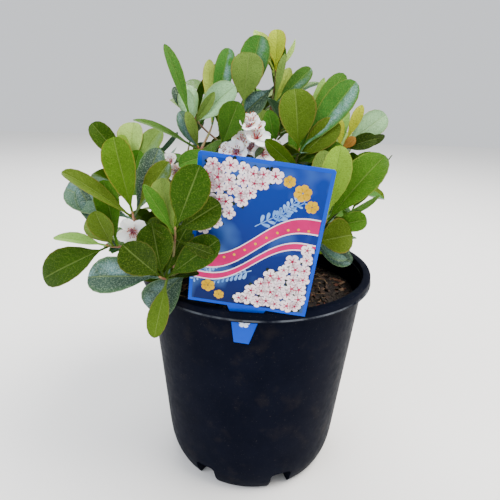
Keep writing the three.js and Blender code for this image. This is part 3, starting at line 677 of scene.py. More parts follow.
# Small helpers for meshes and pieces
def deselect():
    if bpy.context.object and bpy.context.object.mode != "OBJECT":
        bpy.ops.object.mode_set(mode="OBJECT")
    bpy.ops.object.select_all(action="DESELECT")


def keep_piece(piece, slot, *nodes):
    """Sends a finished piece with the part, in place of the solids that it stands for."""
    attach(piece, "root")
    if nodes:
        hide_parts(*nodes)
    return piece


def start_editing():
    bpy.ops.object.mode_set(mode="EDIT")
    bpy.ops.mesh.select_all(action="SELECT")


def finish_editing():
    """Turns every face outwards and goes back to whole objects."""
    bpy.ops.mesh.select_all(action="SELECT")
    bpy.ops.mesh.normals_make_consistent(inside=False)
    bpy.ops.object.mode_set(mode="OBJECT")


def apply_modifier(piece, kind, **settings):
    bpy.context.view_layer.objects.active = piece
    modifier = piece.modifiers.new(kind.lower(), kind)
    for name, value in settings.items():
        setattr(modifier, name, value)
    bpy.ops.object.modifier_apply(modifier=modifier.name)


def smooth(piece, degrees):
    """Smooth shading, but for edges that are sharper than this."""
    deselect()
    bpy.context.view_layer.objects.active = piece
    piece.select_set(True)
    bpy.ops.object.shade_smooth_by_angle(angle=math.radians(degrees))


def shade_all(piece, is_smooth):
    faces = piece.data.polygons
    faces.foreach_set("use_smooth", [is_smooth] * len(faces))


def move_mesh(piece, matrix):
    piece.data.transform(matrix)
    piece.data.update()


def set_materials(piece, *materials):
    piece.data.materials.clear()
    for material in materials:
        piece.data.materials.append(material)


class Heap:
    """Many small shapes of one kind, gathered in millimetres and joined into one mesh."""

    def __init__(self):
        self.points = []
        self.places = []
        self.traits = {"deal": [], "shine": []}
        self.faces = []
        self.slots = []
        self.count = 0

    def put(self, points, faces, places=None, slots=None, deal=0.5, shine=0.0):
        points = np.asarray(points, float)
        self.points.append(points)
        self.traits["deal"].extend([deal] * len(points))
        self.traits["shine"].extend([shine] * len(points))
        self.places.append(np.zeros((len(points), 2)) if places is None else places)
        self.faces.extend([tuple(i + self.count for i in face) for face in faces])
        self.slots.extend(slots if slots is not None else [0] * len(faces))
        self.count += len(points)

    def piece(self, name, slot, materials, *nodes, crease=50):
        mesh = bpy.data.meshes.new(name)
        mesh.from_pydata(np.concatenate(self.points) * MM, [], self.faces)
        mesh.polygons.foreach_set("material_index", self.slots)
        for trait, values in self.traits.items():
            mesh.attributes.new(trait, "FLOAT", "POINT").data.foreach_set("value", values)
        corners = np.zeros(len(mesh.loops), int)
        mesh.loops.foreach_get("vertex_index", corners)
        layer = mesh.uv_layers.new(name="blade")
        layer.data.foreach_set("uv", np.concatenate(self.places)[corners].ravel())
        piece = bpy.data.objects.new(name, mesh)
        bpy.context.collection.objects.link(piece)
        set_materials(piece, *materials)
        smooth(piece, crease)
        return keep_piece(piece, slot, *nodes)


def tube(line, radii, sides):
    """Points and faces of a closed tube along a line of points."""
    line = [Vector(point) for point in line]
    count = len(line)
    points = []
    reference = Vector((0.31, 0.94, 0.12))
    for i, centre in enumerate(line):
        way = (line[min(i + 1, count - 1)] - line[max(i - 1, 0)]).normalized()
        across = square_to(way, reference)
        over = way.cross(across)
        for k in range(sides):
            turn = 2 * math.pi * k / sides
            ring = across * math.cos(turn) + over * math.sin(turn)
            points.append(centre + ring * radii[i])
    faces = [
        (i * sides + k, i * sides + (k + 1) % sides,
         (i + 1) * sides + (k + 1) % sides, (i + 1) * sides + k)
        for i in range(count - 1) for k in range(sides)
    ]
    faces.append(tuple(range(sides - 1, -1, -1)))
    faces.append(tuple(range((count - 1) * sides, count * sides)))
    return points, faces


# Pot
def wall_radius(z):
    slope = math.tan(math.radians(WALL_TAPER))
    straight = WALL_RADIUS + (z - SKIRT_BOTTOM) * slope
    if z >= CORNER_TOP:
        return straight
    straight_foot = WALL_RADIUS - SKIRT_BOTTOM * slope
    return straight - (straight_foot - FOOT_RADIUS) * (1 - z / CORNER_TOP) ** 3


def turned(name, rings, sides):
    """A turned solid: a disc at the foot, extruded and resized ring by ring."""
    deselect()
    radius, height = rings[0]
    bpy.ops.mesh.primitive_circle_add(vertices=sides, radius=radius * MM, fill_type="NGON",
                                      location=(0, 0, height * MM))
    piece = bpy.context.object
    piece.name = name
    bpy.ops.object.transform_apply(location=True, rotation=False, scale=False)
    start_editing()
    for next_radius, next_height in rings[1:]:
        rise = (0, 0, (next_height - height) * MM)
        bpy.ops.mesh.extrude_region_move(TRANSFORM_OT_translate={"value": rise})
        share = next_radius / radius
        bpy.ops.transform.resize(value=(share, share, 1), center_override=(0, 0, next_height * MM))
        radius, height = next_radius, next_height
    finish_editing()
    return piece


def pot_rings():
    """Radius and height of each ring: up the pot's outside, over its rim and down its inside.

    Corners are eased by up to a millimetre."""
    bead = RIM_RADIUS + BEAD_STANDS_OUT
    skirt_inside = RIM_RADIUS - SKIRT_THICKNESS
    under_flange = RIM_TOP - FLANGE_THICKNESS
    bead_top = SKIRT_BOTTOM + BEAD_HEIGHT
    outer = [(wall_radius(z), z)
             for z in (4, 9, 14, 20, 27, CORNER_TOP, 90, 140, under_flange)]
    inner = [(wall_radius(z) - WALL_THICKNESS, z)
             for z in (180, 150, 110, 70, CORNER_TOP, CORNER_MIDDLE, RAISED_FLOOR)]
    return [
        (FOOT_RADIUS - 1.2, 0), (FOOT_RADIUS, 0.7), *outer,
        (skirt_inside, under_flange), (skirt_inside, SKIRT_BOTTOM + 0.4),
        (skirt_inside + 0.5, SKIRT_BOTTOM),
        (bead - 0.4, SKIRT_BOTTOM), (bead, SKIRT_BOTTOM + 0.5), (bead, bead_top - 0.4),
        (RIM_RADIUS + 0.1, bead_top + 0.2), (RIM_RADIUS, bead_top + 0.8),
        (RIM_RADIUS, RIM_TOP - 1.0), (RIM_RADIUS - 0.3, RIM_TOP - 0.3), (RIM_RADIUS - 1.0, RIM_TOP),
        (MOUTH_RADIUS + 0.9, RIM_TOP), (MOUTH_RADIUS + 0.2, RIM_TOP - 0.3),
        (MOUTH_RADIUS - 0.1, RIM_TOP - 1.0), *inner,
        (FLOOR_STEP_RADIUS + FLOOR_STEP_SLOPE, RAISED_FLOOR), (FLOOR_STEP_RADIUS, FLOOR_THICKNESS),
    ]


def cut_box(piece, size, place, turn, corner=0.0):
    """Cuts a box out of the piece, turned round the pot's axis, its edges rounded by the corner."""
    deselect()
    bpy.ops.mesh.primitive_cube_add(size=1)
    cutter = bpy.context.object
    cutter.scale = [side * MM for side in size]
    cutter.location = [value * MM for value in place]
    bpy.ops.object.transform_apply(location=True, rotation=False, scale=True)
    if corner:
        apply_modifier(cutter, "BEVEL", width=corner * MM, segments=5, limit_method="ANGLE")
    move_mesh(cutter, Matrix.Rotation(math.radians(turn), 4, "Z"))
    apply_modifier(piece, "BOOLEAN", object=cutter, operation="DIFFERENCE", solver="EXACT")
    bpy.data.objects.remove(cutter)


def make_pot():
    pot = turned("nursery_pot", pot_rings(), POT_SIDES)
    depth = RIM_RADIUS - NOTCH_INNER_RADIUS
    middle = NOTCH_INNER_RADIUS + depth / 2
    size = (NOTCH_WIDTH, depth, 2 * NOTCH_HEIGHT)
    for i in range(NOTCH_COUNT):
        turn = FIRST_NOTCH + 90 + i * 360 / NOTCH_COUNT
        cut_box(pot, size, (0, -middle, 0), turn, NOTCH_CORNER)
    slot_middle = RIM_RADIUS - SKIRT_THICKNESS - SLOT_EDGE - SLOT_DEPTH / 2
    cut_box(pot, (SLOT_WIDTH, SLOT_DEPTH, 6 * FLANGE_THICKNESS), (0, -slot_middle, RIM_TOP),
            SLOT_TURN)
    set_materials(pot, pot_plastic())
    smooth(pot, 32)
    keep_piece(pot, "pot", "pot")


# Soil
def soil_height(x, y):
    """Height of the soil's surface in millimetres: crumbs on low swells, sinking at the wall."""
    swell = noise.noise(Vector((x / SWELL_SIZE, y / SWELL_SIZE, 1.7))) * SWELL_RISE
    lumps = noise.fractal(Vector((x / LUMP_SIZE, y / LUMP_SIZE, 4.2)), 0.9, 2.1, 4) * LUMP_RISE
    sink = EDGE_SINK * (math.hypot(x, y) / EDGE_SINK_RADIUS) ** 6
    return SOIL_TOP - SOIL_SETTLED + swell + lumps - sink


def make_soil():
    bottom = FLOOR_THICKNESS + SOIL_CLEAR
    raised = RAISED_FLOOR + SOIL_CLEAR
    inside = WALL_THICKNESS + SOIL_CLEAR
    step = FLOOR_STEP_RADIUS - SOIL_CLEAR
    edge = wall_radius(SOIL_TOP) - inside
    rings = [(step, bottom), (step + 1, raised)]
    rings += [(wall_radius(z) - inside, z)
              for z in (raised, CORNER_MIDDLE, CORNER_TOP, 100, SOIL_TOP - 5, SOIL_TOP)]
    rings += [(edge * (1 - i / SOIL_RINGS), SOIL_TOP) for i in range(1, SOIL_RINGS)]
    soil = turned("soil_surface", rings, SOIL_SIDES)
    for vertex in soil.data.vertices:
        if vertex.co.z > (SOIL_TOP - 1) * MM:
            vertex.co.z = soil_height(vertex.co.x / MM, vertex.co.y / MM) * MM
    set_materials(soil, potting_mix())
    shade_all(soil, True)
    keep_piece(soil, "soil", "soil")


def on_soil(seed, reach):
    """A point on the soil, evenly by chance."""
    distance = reach * math.sqrt(chance(seed))
    turn = 2 * math.pi * chance(seed + 0.37)
    x = distance * math.cos(turn)
    y = distance * math.sin(turn)
    return Vector((x, y, soil_height(x, y)))


def make_chips():
    """Bark chips: flat, broken blocks, some standing out of the mix."""
    corners = [Vector((x, y, z)) for x in (-1, 1) for y in (-1, 1) for z in (-1, 1)]
    faces = [(0, 1, 3, 2), (4, 6, 7, 5), (0, 4, 5, 1), (2, 3, 7, 6), (0, 2, 6, 4), (1, 5, 7, 3)]
    finishes = {
        "dark": ("#211812", 560), "brown": ("#3d2a1e", 430), "red": ("#5c3324", 80),
        "tan": ("#6e5541", 90),
    }
    for number, (shade, (colour, count)) in enumerate(finishes.items()):
        heap = Heap()
        for i in range(count):
            seed = 1000 * (number + 1) + i
            size = Vector((spread(1.0, 4.2, seed), spread(0.7, 2.0, seed + 0.1),
                           spread(0.3, 0.9, seed + 0.2)))
            turn = Matrix.Rotation(spread(0, 6.28, seed + 0.3), 3, "Z")
            turn = turn @ Matrix.Rotation(spread(-0.7, 0.7, seed + 0.4), 3, "X")
            turn = turn @ Matrix.Rotation(spread(-0.6, 0.6, seed + 0.5), 3, "Y")
            centre = on_soil(seed + 0.6, CHIP_REACH) + UP * spread(-0.3, 0.9, seed + 0.7)
            points = []
            for k, corner in enumerate(corners):
                jitter = spread(0.6, 1.1, seed + 0.05 * k + 0.013)
                points.append(centre + turn @ (corner * size * jitter))
            heap.put(points, faces)
        finish = plain_finish(f"Composted bark, {shade}", colour, 0.85, 1.5, 0.5, "#1c1410")
        shade_all(heap.piece(f"bark_chips_{shade}", "soil", [finish]), False)


def make_root_fibres():
    """Root fibres and straw bits that lie across the soil."""
    heap = Heap()
    for i in range(FIBRE_COUNT):
        seed = 7000 + i
        point = on_soil(seed, FIBRE_REACH)
        heading = spread(0, 6.28, seed + 0.2)
        bow = spread(-0.5, 0.5, seed + 0.3)
        stride = spread(1.2, 3.2, seed + 0.4)
        line = []
        for k in range(7):
            lift = 0.6 + 1.2 * math.sin(math.pi * k / 6) * chance(seed + 0.5)
            height = soil_height(point.x, point.y) + lift
            line.append(Vector((point.x, point.y, height)))
            heading += bow + 0.5 * (chance(seed + k) - 0.5)
            point = point + Vector((math.cos(heading), math.sin(heading), 0)) * stride
            if math.hypot(point.x, point.y) > FIBRE_LIMIT:
                break
        if len(line) > 2:
            radius = spread(0.2, 0.5, seed + 0.6)
            heap.put(*tube(line, [radius] * len(line), 5))
    finish = plain_finish("Dry root fibre", "#7d6548", 0.8, 3, 0.45, "#3a2a1e")
    heap.piece("root_fibres", "soil", [finish])


# Label
def card_place():
    turn = Matrix.Rotation(math.radians(CARD_YAW), 4, "Z")
    turn = turn @ Matrix.Rotation(math.radians(CARD_ROLL), 4, "Y")
    turn = turn @ Matrix.Rotation(math.radians(CARD_LEAN), 4, "X")
    return Matrix.Translation(CARD_FOOT * MM) @ turn


def make_card():
    """The card and its tongue: one outline, filled, given its thickness and bevelled."""
    deselect()
    half = CARD_WIDTH / 2
    foot = [(half, 0), (TONGUE_WIDTH / 2, 0), (TONGUE_NECK / 2, -TONGUE_SHOULDER),
            (TONGUE_TIP_WIDTH / 2, -TONGUE_LENGTH)]
    head = [(half, CARD_HEIGHT - CARD_CORNER), (half - CARD_CORNER, CARD_HEIGHT)]
    outline = [(-x, z) for x, z in foot] + foot[::-1] + head + [(-x, z) for x, z in head[::-1]]
    bpy.ops.mesh.primitive_circle_add(vertices=len(outline), radius=0.05, fill_type="NGON")
    card = bpy.context.object
    card.name = "label_card"
    for vertex, (x, z) in zip(card.data.vertices, outline):
        vertex.co = Vector((x, CARD_THICKNESS / 2, z)) * MM
    start_editing()
    bpy.ops.mesh.extrude_region_move(
        TRANSFORM_OT_translate={"value": (0, -CARD_THICKNESS * MM, 0)})
    finish_editing()
    apply_modifier(card, "BEVEL", width=CARD_BEVEL * MM, segments=2, limit_method="ANGLE")
    move_mesh(card, card_place())
    set_materials(card, print_ink("Blue polypropylene card", "#0040b8", "#0046c0"))
    keep_piece(card, "label", "label")


class Print:
    """Flat shapes of one ink on the card's face, each layer a little further out."""

    def __init__(self, layer):
        self.heap = Heap()
        self.depth = -CARD_THICKNESS / 2 - INK_STEP * layer

    def polygon(self, corners):
        points = [(x, self.depth, z) for x, z in corners]
        self.heap.put(points, [tuple(range(len(points)))])

    def petal(self, x, z, turn, length, width):
        """A petal that starts at a point and widens away from it."""
        shape = [(0.1, 0.12), (0.45, 0.42), (0.75, 0.5), (0.95, 0.32), (1, 0)]
        side = [(a * length, b * width) for a, b in shape]
        outline = side + [(a, -b) for a, b in reversed(side[:-1])]
        cos, sin = math.cos(turn), math.sin(turn)
        self.polygon([(x + a * cos - b * sin, z + a * sin + b * cos) for a, b in outline])

    def disc(self, x, z, radius):
        turns = [2 * math.pi * k / DISC_SIDES for k in range(DISC_SIDES)]
        self.polygon([(x + radius * math.cos(t), z + radius * math.sin(t)) for t in turns])

    def band(self, line, width):
        """A band of even width along a line of points."""
        for (x0, z0), (x1, z1) in zip(line, line[1:]):
            self.polygon([(x0, z0 - width / 2), (x1, z1 - width / 2),
                          (x1, z1 + width / 2), (x0, z0 + width / 2)])

    def piece(self, name, ink):
        move_mesh(self.heap.piece(name, "label", [ink]), card_place())


def blossom_spots():
    """Places, sizes and turns of the printed rosettes, which fill two opposite corners."""
    spots = []
    for across, upward, corner_x, corner_z in ((1, -1, -35, 99), (-1, 1, 35, 6)):
        for i in range(ROSETTE_ROWS):
            for j in range(ROSETTE_ROWS - i):
                seed = 40 + 31 * i + 7 * j + across
                x = corner_x + across * ROSETTE_STEP_X * (i + 0.5 * chance(seed))
                z = corner_z + upward * ROSETTE_STEP_Z * (j + 0.5 * chance(seed + 0.2))
                spots.append((x, z, spread(4.0, 5.3, seed + 0.4), spread(0, 6, seed + 0.6)))
    return [spot for spot in spots if abs(spot[0]) < 35.5 and 5 < spot[1] < 100]


def swoosh(reach, height, rise, swing):
    """A line that climbs across the card in one long wave."""
    steps = [k / 32 for k in range(33)]
    return [(reach * (2 * t - 1), height + rise * t + swing * math.sin(2 * math.pi * t))
            for t in steps]


def print_sprigs():
    """Pale sprigs on thin stems between the other motifs, their leaves in pairs."""
    sprigs = Print(2)
    for start_x, start_z, way, reach in (
            (-2, 62, 0.62, 34), (10, 66, 1.0, 26), (-22, 36, 4.0, 24), (0, 30, 3.6, 26)):
        cos, sin = math.cos(way), math.sin(way)
        stem = [(start_x + reach * t / 8 * cos, start_z + reach * t / 8 * sin) for t in range(9)]
        sprigs.band(stem, 0.7)
        for i, (x, z) in enumerate(stem[1:]):
            for side in (1, -1):
                sprigs.petal(x, z, way + side * 0.8, 6.2 - 0.45 * i, 2.3 - 0.15 * i)
    sprigs.piece("print_sprigs", print_ink("Light blue ink", "#4a86d4", "#8fb8ea", 14))


def print_rosettes():
    """White rosettes with rose hearts, each on two dark leaves."""
    leaves = Print(5)
    petals = Print(6)
    hearts = Print(7)
    for x, z, size, turn in blossom_spots():
        leaves.petal(x, z, turn + 0.5, size * 1.25, size * 0.5)
        leaves.petal(x, z, turn + 2.6, size * 1.2, size * 0.45)
        for k in range(5):
            spoke = turn + 2 * math.pi * k / 5
            petals.petal(x, z, spoke, size, size * 0.82)
            hearts.petal(x, z, spoke + 0.1, size * 0.55, size * 0.13)
        hearts.disc(x, z, size * 0.2)
    leaves.piece("print_leaves", print_ink("Dark green ink", "#0a1410", "#20301c", 9))
    petals.piece("print_petals", print_ink("White ink", "#fbf4f4", "#ecd0da", 4))
    hearts.piece("print_hearts", print_ink("Rose ink", "#8c0c38", "#c03a60", 5))


def print_ribbons():
    """Two pink ribbons with pale edges."""
    edging = Print(3)
    ribbons = Print(4)
    for reach, height, rise, swing, width in ((38.2, 33, 34, -6, 9), (38.2, 22, 30, -6, 4)):
        line = swoosh(reach, height, rise, swing)
        edging.band(line, width + 1.8)
        ribbons.band(line, width)
    edging.piece("print_edging", print_ink("Pale rose ink", "#f4e4ec", "#e8ccdc", 12))
    ribbons.piece("print_ribbons", print_ink("Pink ink", "#cc0468", "#b4025a", 20))


def print_yellow():
    """Yellow flowers by the sprigs, and dots along the wider ribbon."""
    yellow = Print(5)
    for x, z, size in ((24, 88, 5.6), (31, 80, 4.2), (15, 94, 3.8), (-28, 14, 4.8), (-20, 8, 3.6)):
        for k in range(6):
            yellow.petal(x, z, 2 * math.pi * k / 6 + size, size, size * 0.8)
    for x, z in swoosh(34, 36, 28, -5)[1::3]:
        yellow.disc(x, z, 0.9)
    yellow.piece("print_yellow", print_ink("Yellow ink", "#c89a00", "#dcae04", 8))


def make_print():
    """A generic design: blue ground, white rosettes, pink ribbons and yellow flowers."""
    half = CARD_WIDTH / 2 - CARD_BORDER
    low = CARD_BORDER
    high = CARD_HEIGHT - CARD_BORDER
    ground = Print(1)
    ground.polygon([(-half, low), (half, low), (half, high), (-half, high)])
    ground.piece("print_ground", graded_ink("Deep blue ink", "#061448", "#0a3290", "#5c92dc"))
    print_sprigs()
    print_ribbons()
    print_rosettes()
    print_yellow()
    mark = Print(1)
    for k in range(5):
        mark.petal(0, -13, 2 * math.pi * k / 5 + 0.3, 4.2, 3.4)
    mark.piece("print_tongue_rosette", print_ink("White ink on the tongue", "#dfe9f6", "#c8dcf2", 4))


# Stem and boughs
def bezier_limb(name, controls, radius_at, ridge_height):
    """A limb drawn as a bevelled curve, made a mesh, and given the bark's long ridges."""
    deselect()
    steps = 24
    bpy.ops.curve.primitive_nurbs_path_add()
    limb = bpy.context.object
    limb.name = name
    curve = limb.data
    curve.splines.clear()
    spline = curve.splines.new("POLY")
    spline.points.add(steps)
    for i in range(steps + 1):
        t = i / steps
        spline.points[i].co = (*(on_curve(controls, t) * MM), 1)
        spline.points[i].radius = radius_at(t)
    curve.bevel_depth = MM
    curve.bevel_resolution = 5
    curve.use_fill_caps = True
    curve.dimensions = "3D"
    bpy.ops.object.convert(target="MESH")
    limb = bpy.context.object
    start_editing()
    bpy.ops.mesh.remove_doubles(threshold=0.00001)
    bpy.ops.mesh.subdivide(number_cuts=1)
    finish_editing()
    for vertex in limb.data.vertices:
        x, y, z = vertex.co / MM
        grain = Vector((x / RIDGE_WIDTH, y / RIDGE_WIDTH, z / RIDGE_LENGTH))
        ridge = noise.fractal(grain, 0.8, 2, 4)
        vertex.co += vertex.normal * ridge * ridge_height * MM
    shade_all(limb, True)
    return limb


def stem_radius(t):
    flare = STEM_FLARE * math.exp(-9 * t)
    return STEM_FOOT_RADIUS + (STEM_TOP_RADIUS - STEM_FOOT_RADIUS) * t + flare


def bough_radius(t):
    return BOUGH_ROOT_RADIUS + (BOUGH_TIP_RADIUS - BOUGH_ROOT_RADIUS) * t


def stem_point(height):
    start = STEM_FOOT + UP * STEM_GAP
    return start.lerp(STEM_TOP, (height - start.z) / (STEM_TOP.z - start.z))


def bough_controls(mass):
    root = stem_point(mass["height"])
    tip = Vector(mass["tip"])
    bend = root.lerp(tip, 0.5)
    bend.z -= BOUGH_SAG * (tip - root).length
    return [root, bend, tip]


def make_wood():
    finish = bark()
    foot = STEM_FOOT - UP * STEM_SUNK
    stem = bezier_limb("main_stem", [foot, STEM_TOP], stem_radius, STEM_RIDGES)
    set_materials(stem, finish)
    keep_piece(stem, "bark", "stem")
    for mass in MASSES:
        bough = bezier_limb(f"limb_{mass['name']}", bough_controls(mass), bough_radius,
                            BOUGH_RIDGES)
        set_materials(bough, finish)
        keep_piece(bough, "bark", f"bough_{mass['name']}")


# Twigs
def twig_controls(start, start_way, shoot):
    tip = Vector(shoot["at"])
    third = (tip - start).length / 3
    return [start, start + start_way * third, tip - pointing(*shoot["points"]) * third, tip]


def add_twig(heap, controls, root_radius, tip_radius, seed):
    """A twig that swells a little here and there, as it does at old leaf joints."""
    steps = 18
    line = [on_curve(controls, i / steps) for i in range(steps + 1)]
    radii = []
    for i in range(steps + 1):
        swell = 1 + (TWIG_SWELL if chance(seed + i) > 0.6 else 0.0)
        radii.append((root_radius + (tip_radius - root_radius) * i / steps) * swell)
    heap.put(*tube(line, radii, 8))


def add_bud(heap, place, way, size):
    """A pointed bud that ends a shoot."""
    line = [place + way * size * t for t in (-0.3, 0, 0.35, 0.7, 1.0)]
    heap.put(*tube(line, [size * r for r in (0.2, 0.3, 0.32, 0.2, 0.03)], 6))


# Leaves
def leaf_faces():
    """A leaf's faces and their finishes, the upper side's first.

    Its points are the foot, the tip, five across the upper side at each station between them,
    and one under the midrib at each station."""
    rows = len(LEAF_STATIONS) - 2
    columns = len(LEAF_ACROSS)
    foot, tip, first = 0, 1, 2
    faces = []

    def upper(i, j):
        return first + i * columns + j

    def below(i):
        return first + rows * columns + i

    for j in range(columns - 1):
        faces.append((foot, upper(0, j + 1), upper(0, j)))
        faces.append((upper(rows - 1, j), upper(rows - 1, j + 1), tip))
        for i in range(rows - 1):
            faces.append((upper(i, j), upper(i, j + 1), upper(i + 1, j + 1), upper(i + 1, j)))
    upper_count = len(faces)
    for i in range(rows - 1):
        left, right = upper(i, 0), upper(i, columns - 1)
        next_left, next_right = upper(i + 1, 0), upper(i + 1, columns - 1)
        faces.append((left, next_left, below(i + 1), below(i)))
        faces.append((below(i), below(i + 1), next_right, right))
    faces.append((foot, upper(0, 0), below(0)))
    faces.append((foot, below(0), upper(0, columns - 1)))
    faces.append((upper(rows - 1, 0), tip, below(rows - 1)))
    faces.append((below(rows - 1), tip, upper(rows - 1, columns - 1)))
    return faces, [0] * upper_count + [1] * (len(faces) - upper_count)


LEAF_FACES, LEAF_SLOTS = leaf_faces()

# The blade begins past the stalk's two rows of points. A few points in its middle are where
# the eye has to reach it, if the leaf is one that the photograph shows.
BLADE_START = 2 + 2 * len(LEAF_ACROSS)
BLADE_FACES = [face for face in LEAF_FACES if min(face) >= BLADE_START]
SIGHT_POINTS = [2 + i * len(LEAF_ACROSS) + j for i in (3, 4, 5, 6) for j in (1, 2, 3)]


def leaf_half_widths(width, seed):
    """Half widths along a leaf: a slim stalk, then an oval that is widest past its middle."""
    blade = np.clip((LEAF_STATIONS - PETIOLE) / (1 - PETIOLE), 0, 1)
    slim = 0.16 if width < SLIM_WIDTH else 0.0
    swelling = spread(0.78, 1.05, seed + 0.11) + slim
    closing = spread(0.4, 0.54, seed + 0.12) + slim
    oval = blade ** swelling * (1 - blade) ** closing
    peak = swelling / (swelling + closing)
    oval = oval / (peak ** swelling * (1 - peak) ** closing)
    stalk = PETIOLE_HALF * (1 - blade) + 0.12
    return np.maximum(oval * width / 2, stalk * (LEAF_STATIONS < 0.9))


def leaf_mesh(leaf):
    """A leaf's points and its map: folded along the midrib, arched, curled, waved and twisted."""
    seed = leaf["seed"]
    half = leaf_half_widths(leaf["width"], seed)[:, None]
    t = LEAF_STATIONS[:, None]
    u = LEAF_ACROSS[None, :]
    length = leaf["length"]
    across = u * half
    fold = LEAF_FOLD * spread(0.7, 2.1, seed + 0.21)
    curl = spread(-0.05, 0.22, seed + 0.22) * length
    wave = spread(0.0, 0.022, seed + 0.23) * length
    phase = spread(0, 6.28, seed + 0.24)
    lift = fold * (np.sqrt(across ** 2 + 0.6) - 0.77)
    lift = lift - LEAF_ARCH * length * t ** 2 - curl * np.clip(t - 0.72, 0, 1) ** 2 * 3
    lift = lift + wave * u ** 2 * np.sin(9 * t + phase + u) * (t > PETIOLE)
    body = np.clip(1 - (t - 0.1) * 1.6, 0.35, 1)
    rib = np.exp(-(u / 0.16) ** 2) * MIDRIB_DEPTH * body
    over = lift + (1 - u ** 2) * np.where(t < PETIOLE, PETIOLE_THICKNESS, BLADE_RISE)
    below = lift - (1 - u ** 2) * np.where(t < PETIOLE, PETIOLE_THICKNESS, BLADE_THICKNESS) - rib
    twist = np.radians(spread(-14, 14, seed + 0.25)) * t
    way = np.array(leaf["way"])
    facing = np.array(leaf["facing"])
    side = np.cross(way, facing)

    def place(height):
        aside = across * np.cos(twist) - height * np.sin(twist)
        out = across * np.sin(twist) + height * np.cos(twist)
        along = length * t + 0 * u
        return (np.array(leaf["root"]) + along[..., None] * way + aside[..., None] * side
                + out[..., None] * facing)

    top = place(over)
    middle = len(LEAF_ACROSS) // 2
    under = place(below)[1:-1, middle]
    maps = np.stack([(u + 1) / 2 + 0 * t, t + 0 * u], axis=-1)
    points = np.concatenate([top[[0, -1], middle], top[1:-1].reshape(-1, 3), under])
    places = np.concatenate([maps[[0, -1], middle], maps[1:-1].reshape(-1, 2), maps[1:-1, middle]])
    return points, places


def chosen_leaf(controls, index, row, seed):
    """A leaf that the photograph shows, from its row."""
    clock, lean, length, width, face, tone, *more = row
    lower, shine = [*more, 0, 0][:2]
    way = pointing(clock, lean)
    facing = turned_about(square_to(way, VIEWER), way, face)
    return {"root": before_tip(controls, 1 + LEAF_SPACING * index + lower), "way": way,
            "facing": facing, "length": length, "width": width, "tone": tone, "seed": seed,
            "shine": shine}


def ruled(values, age, seed):
    """A measure by the rule: what it is on a young leaf, what age adds, and what chance adds."""
    young, old, by_chance = values
    return young + old * age + by_chance * (chance(seed) - 0.5)


def ruled_leaf(controls, index, count, seed, first_below, extra_turn):
    """The rule's leaf: by the golden angle round the shoot, older ones lower and more open.

    Where it grows below leaves that the photograph shows, it stays behind the shoot."""
    age = 1 - index / count
    axis = curve_way(controls, 1)
    step = GOLDEN_ANGLE * (index + 1) + 360 * chance(seed)
    turn = step % 180 - 90 if first_below > 1 else step
    spoke = turned_about(square_to(axis, BACK), axis, turn + extra_turn)
    opening = math.radians(ruled(RULED_OPENING, age, seed + index + 0.3))
    way = (axis * math.cos(opening) + spoke * math.sin(opening)).normalized()
    facing = square_to(way, axis + UP * 0.5)
    length = ruled(RULED_LENGTH, age, seed + index + 0.6)
    width = length * ruled(RULED_WIDTH, age, seed + index + 0.9)
    below = first_below + LEAF_SPACING * (count - 1 - index)
    draw = chance(seed + index + 0.43)
    shine = 1.0 if draw < GLARING_SHARE else -1.0 if draw > 1 - GLARING_SHARE else 0.0
    return {"root": before_tip(controls, below), "way": way, "facing": facing,
            "length": length, "width": width, "seed": seed + index + 0.05, "shine": shine}


def view_axes():
    """The camera's way forward, to the right and up."""
    pitch = math.radians(CAMERA_PITCH)
    yaw = math.radians(CAMERA_YAW)
    roll = math.radians(CAMERA_ROLL)
    forward = Vector((math.sin(yaw) * math.cos(pitch), math.cos(yaw) * math.cos(pitch),
                      -math.sin(pitch)))
    level = forward.cross(UP).normalized()
    right = level * math.cos(roll) + level.cross(forward) * math.sin(roll)
    return forward, right, right.cross(forward)


def in_view(points):
    """Where points in millimetres lie in the photograph's frame, from its upper left corner."""
    forward, right, up = (np.array(axis) for axis in view_axes())
    rays = np.asarray(points) - np.array(CAMERA_PLACE) / MM
    scale = PHOTO_SIZE * CAMERA_LENS / CAMERA_SENSOR / (rays @ forward)
    middle = PHOTO_SIZE / 2
    return np.stack([middle + scale * (rays @ right), middle - scale * (rays @ up)], axis=-1)


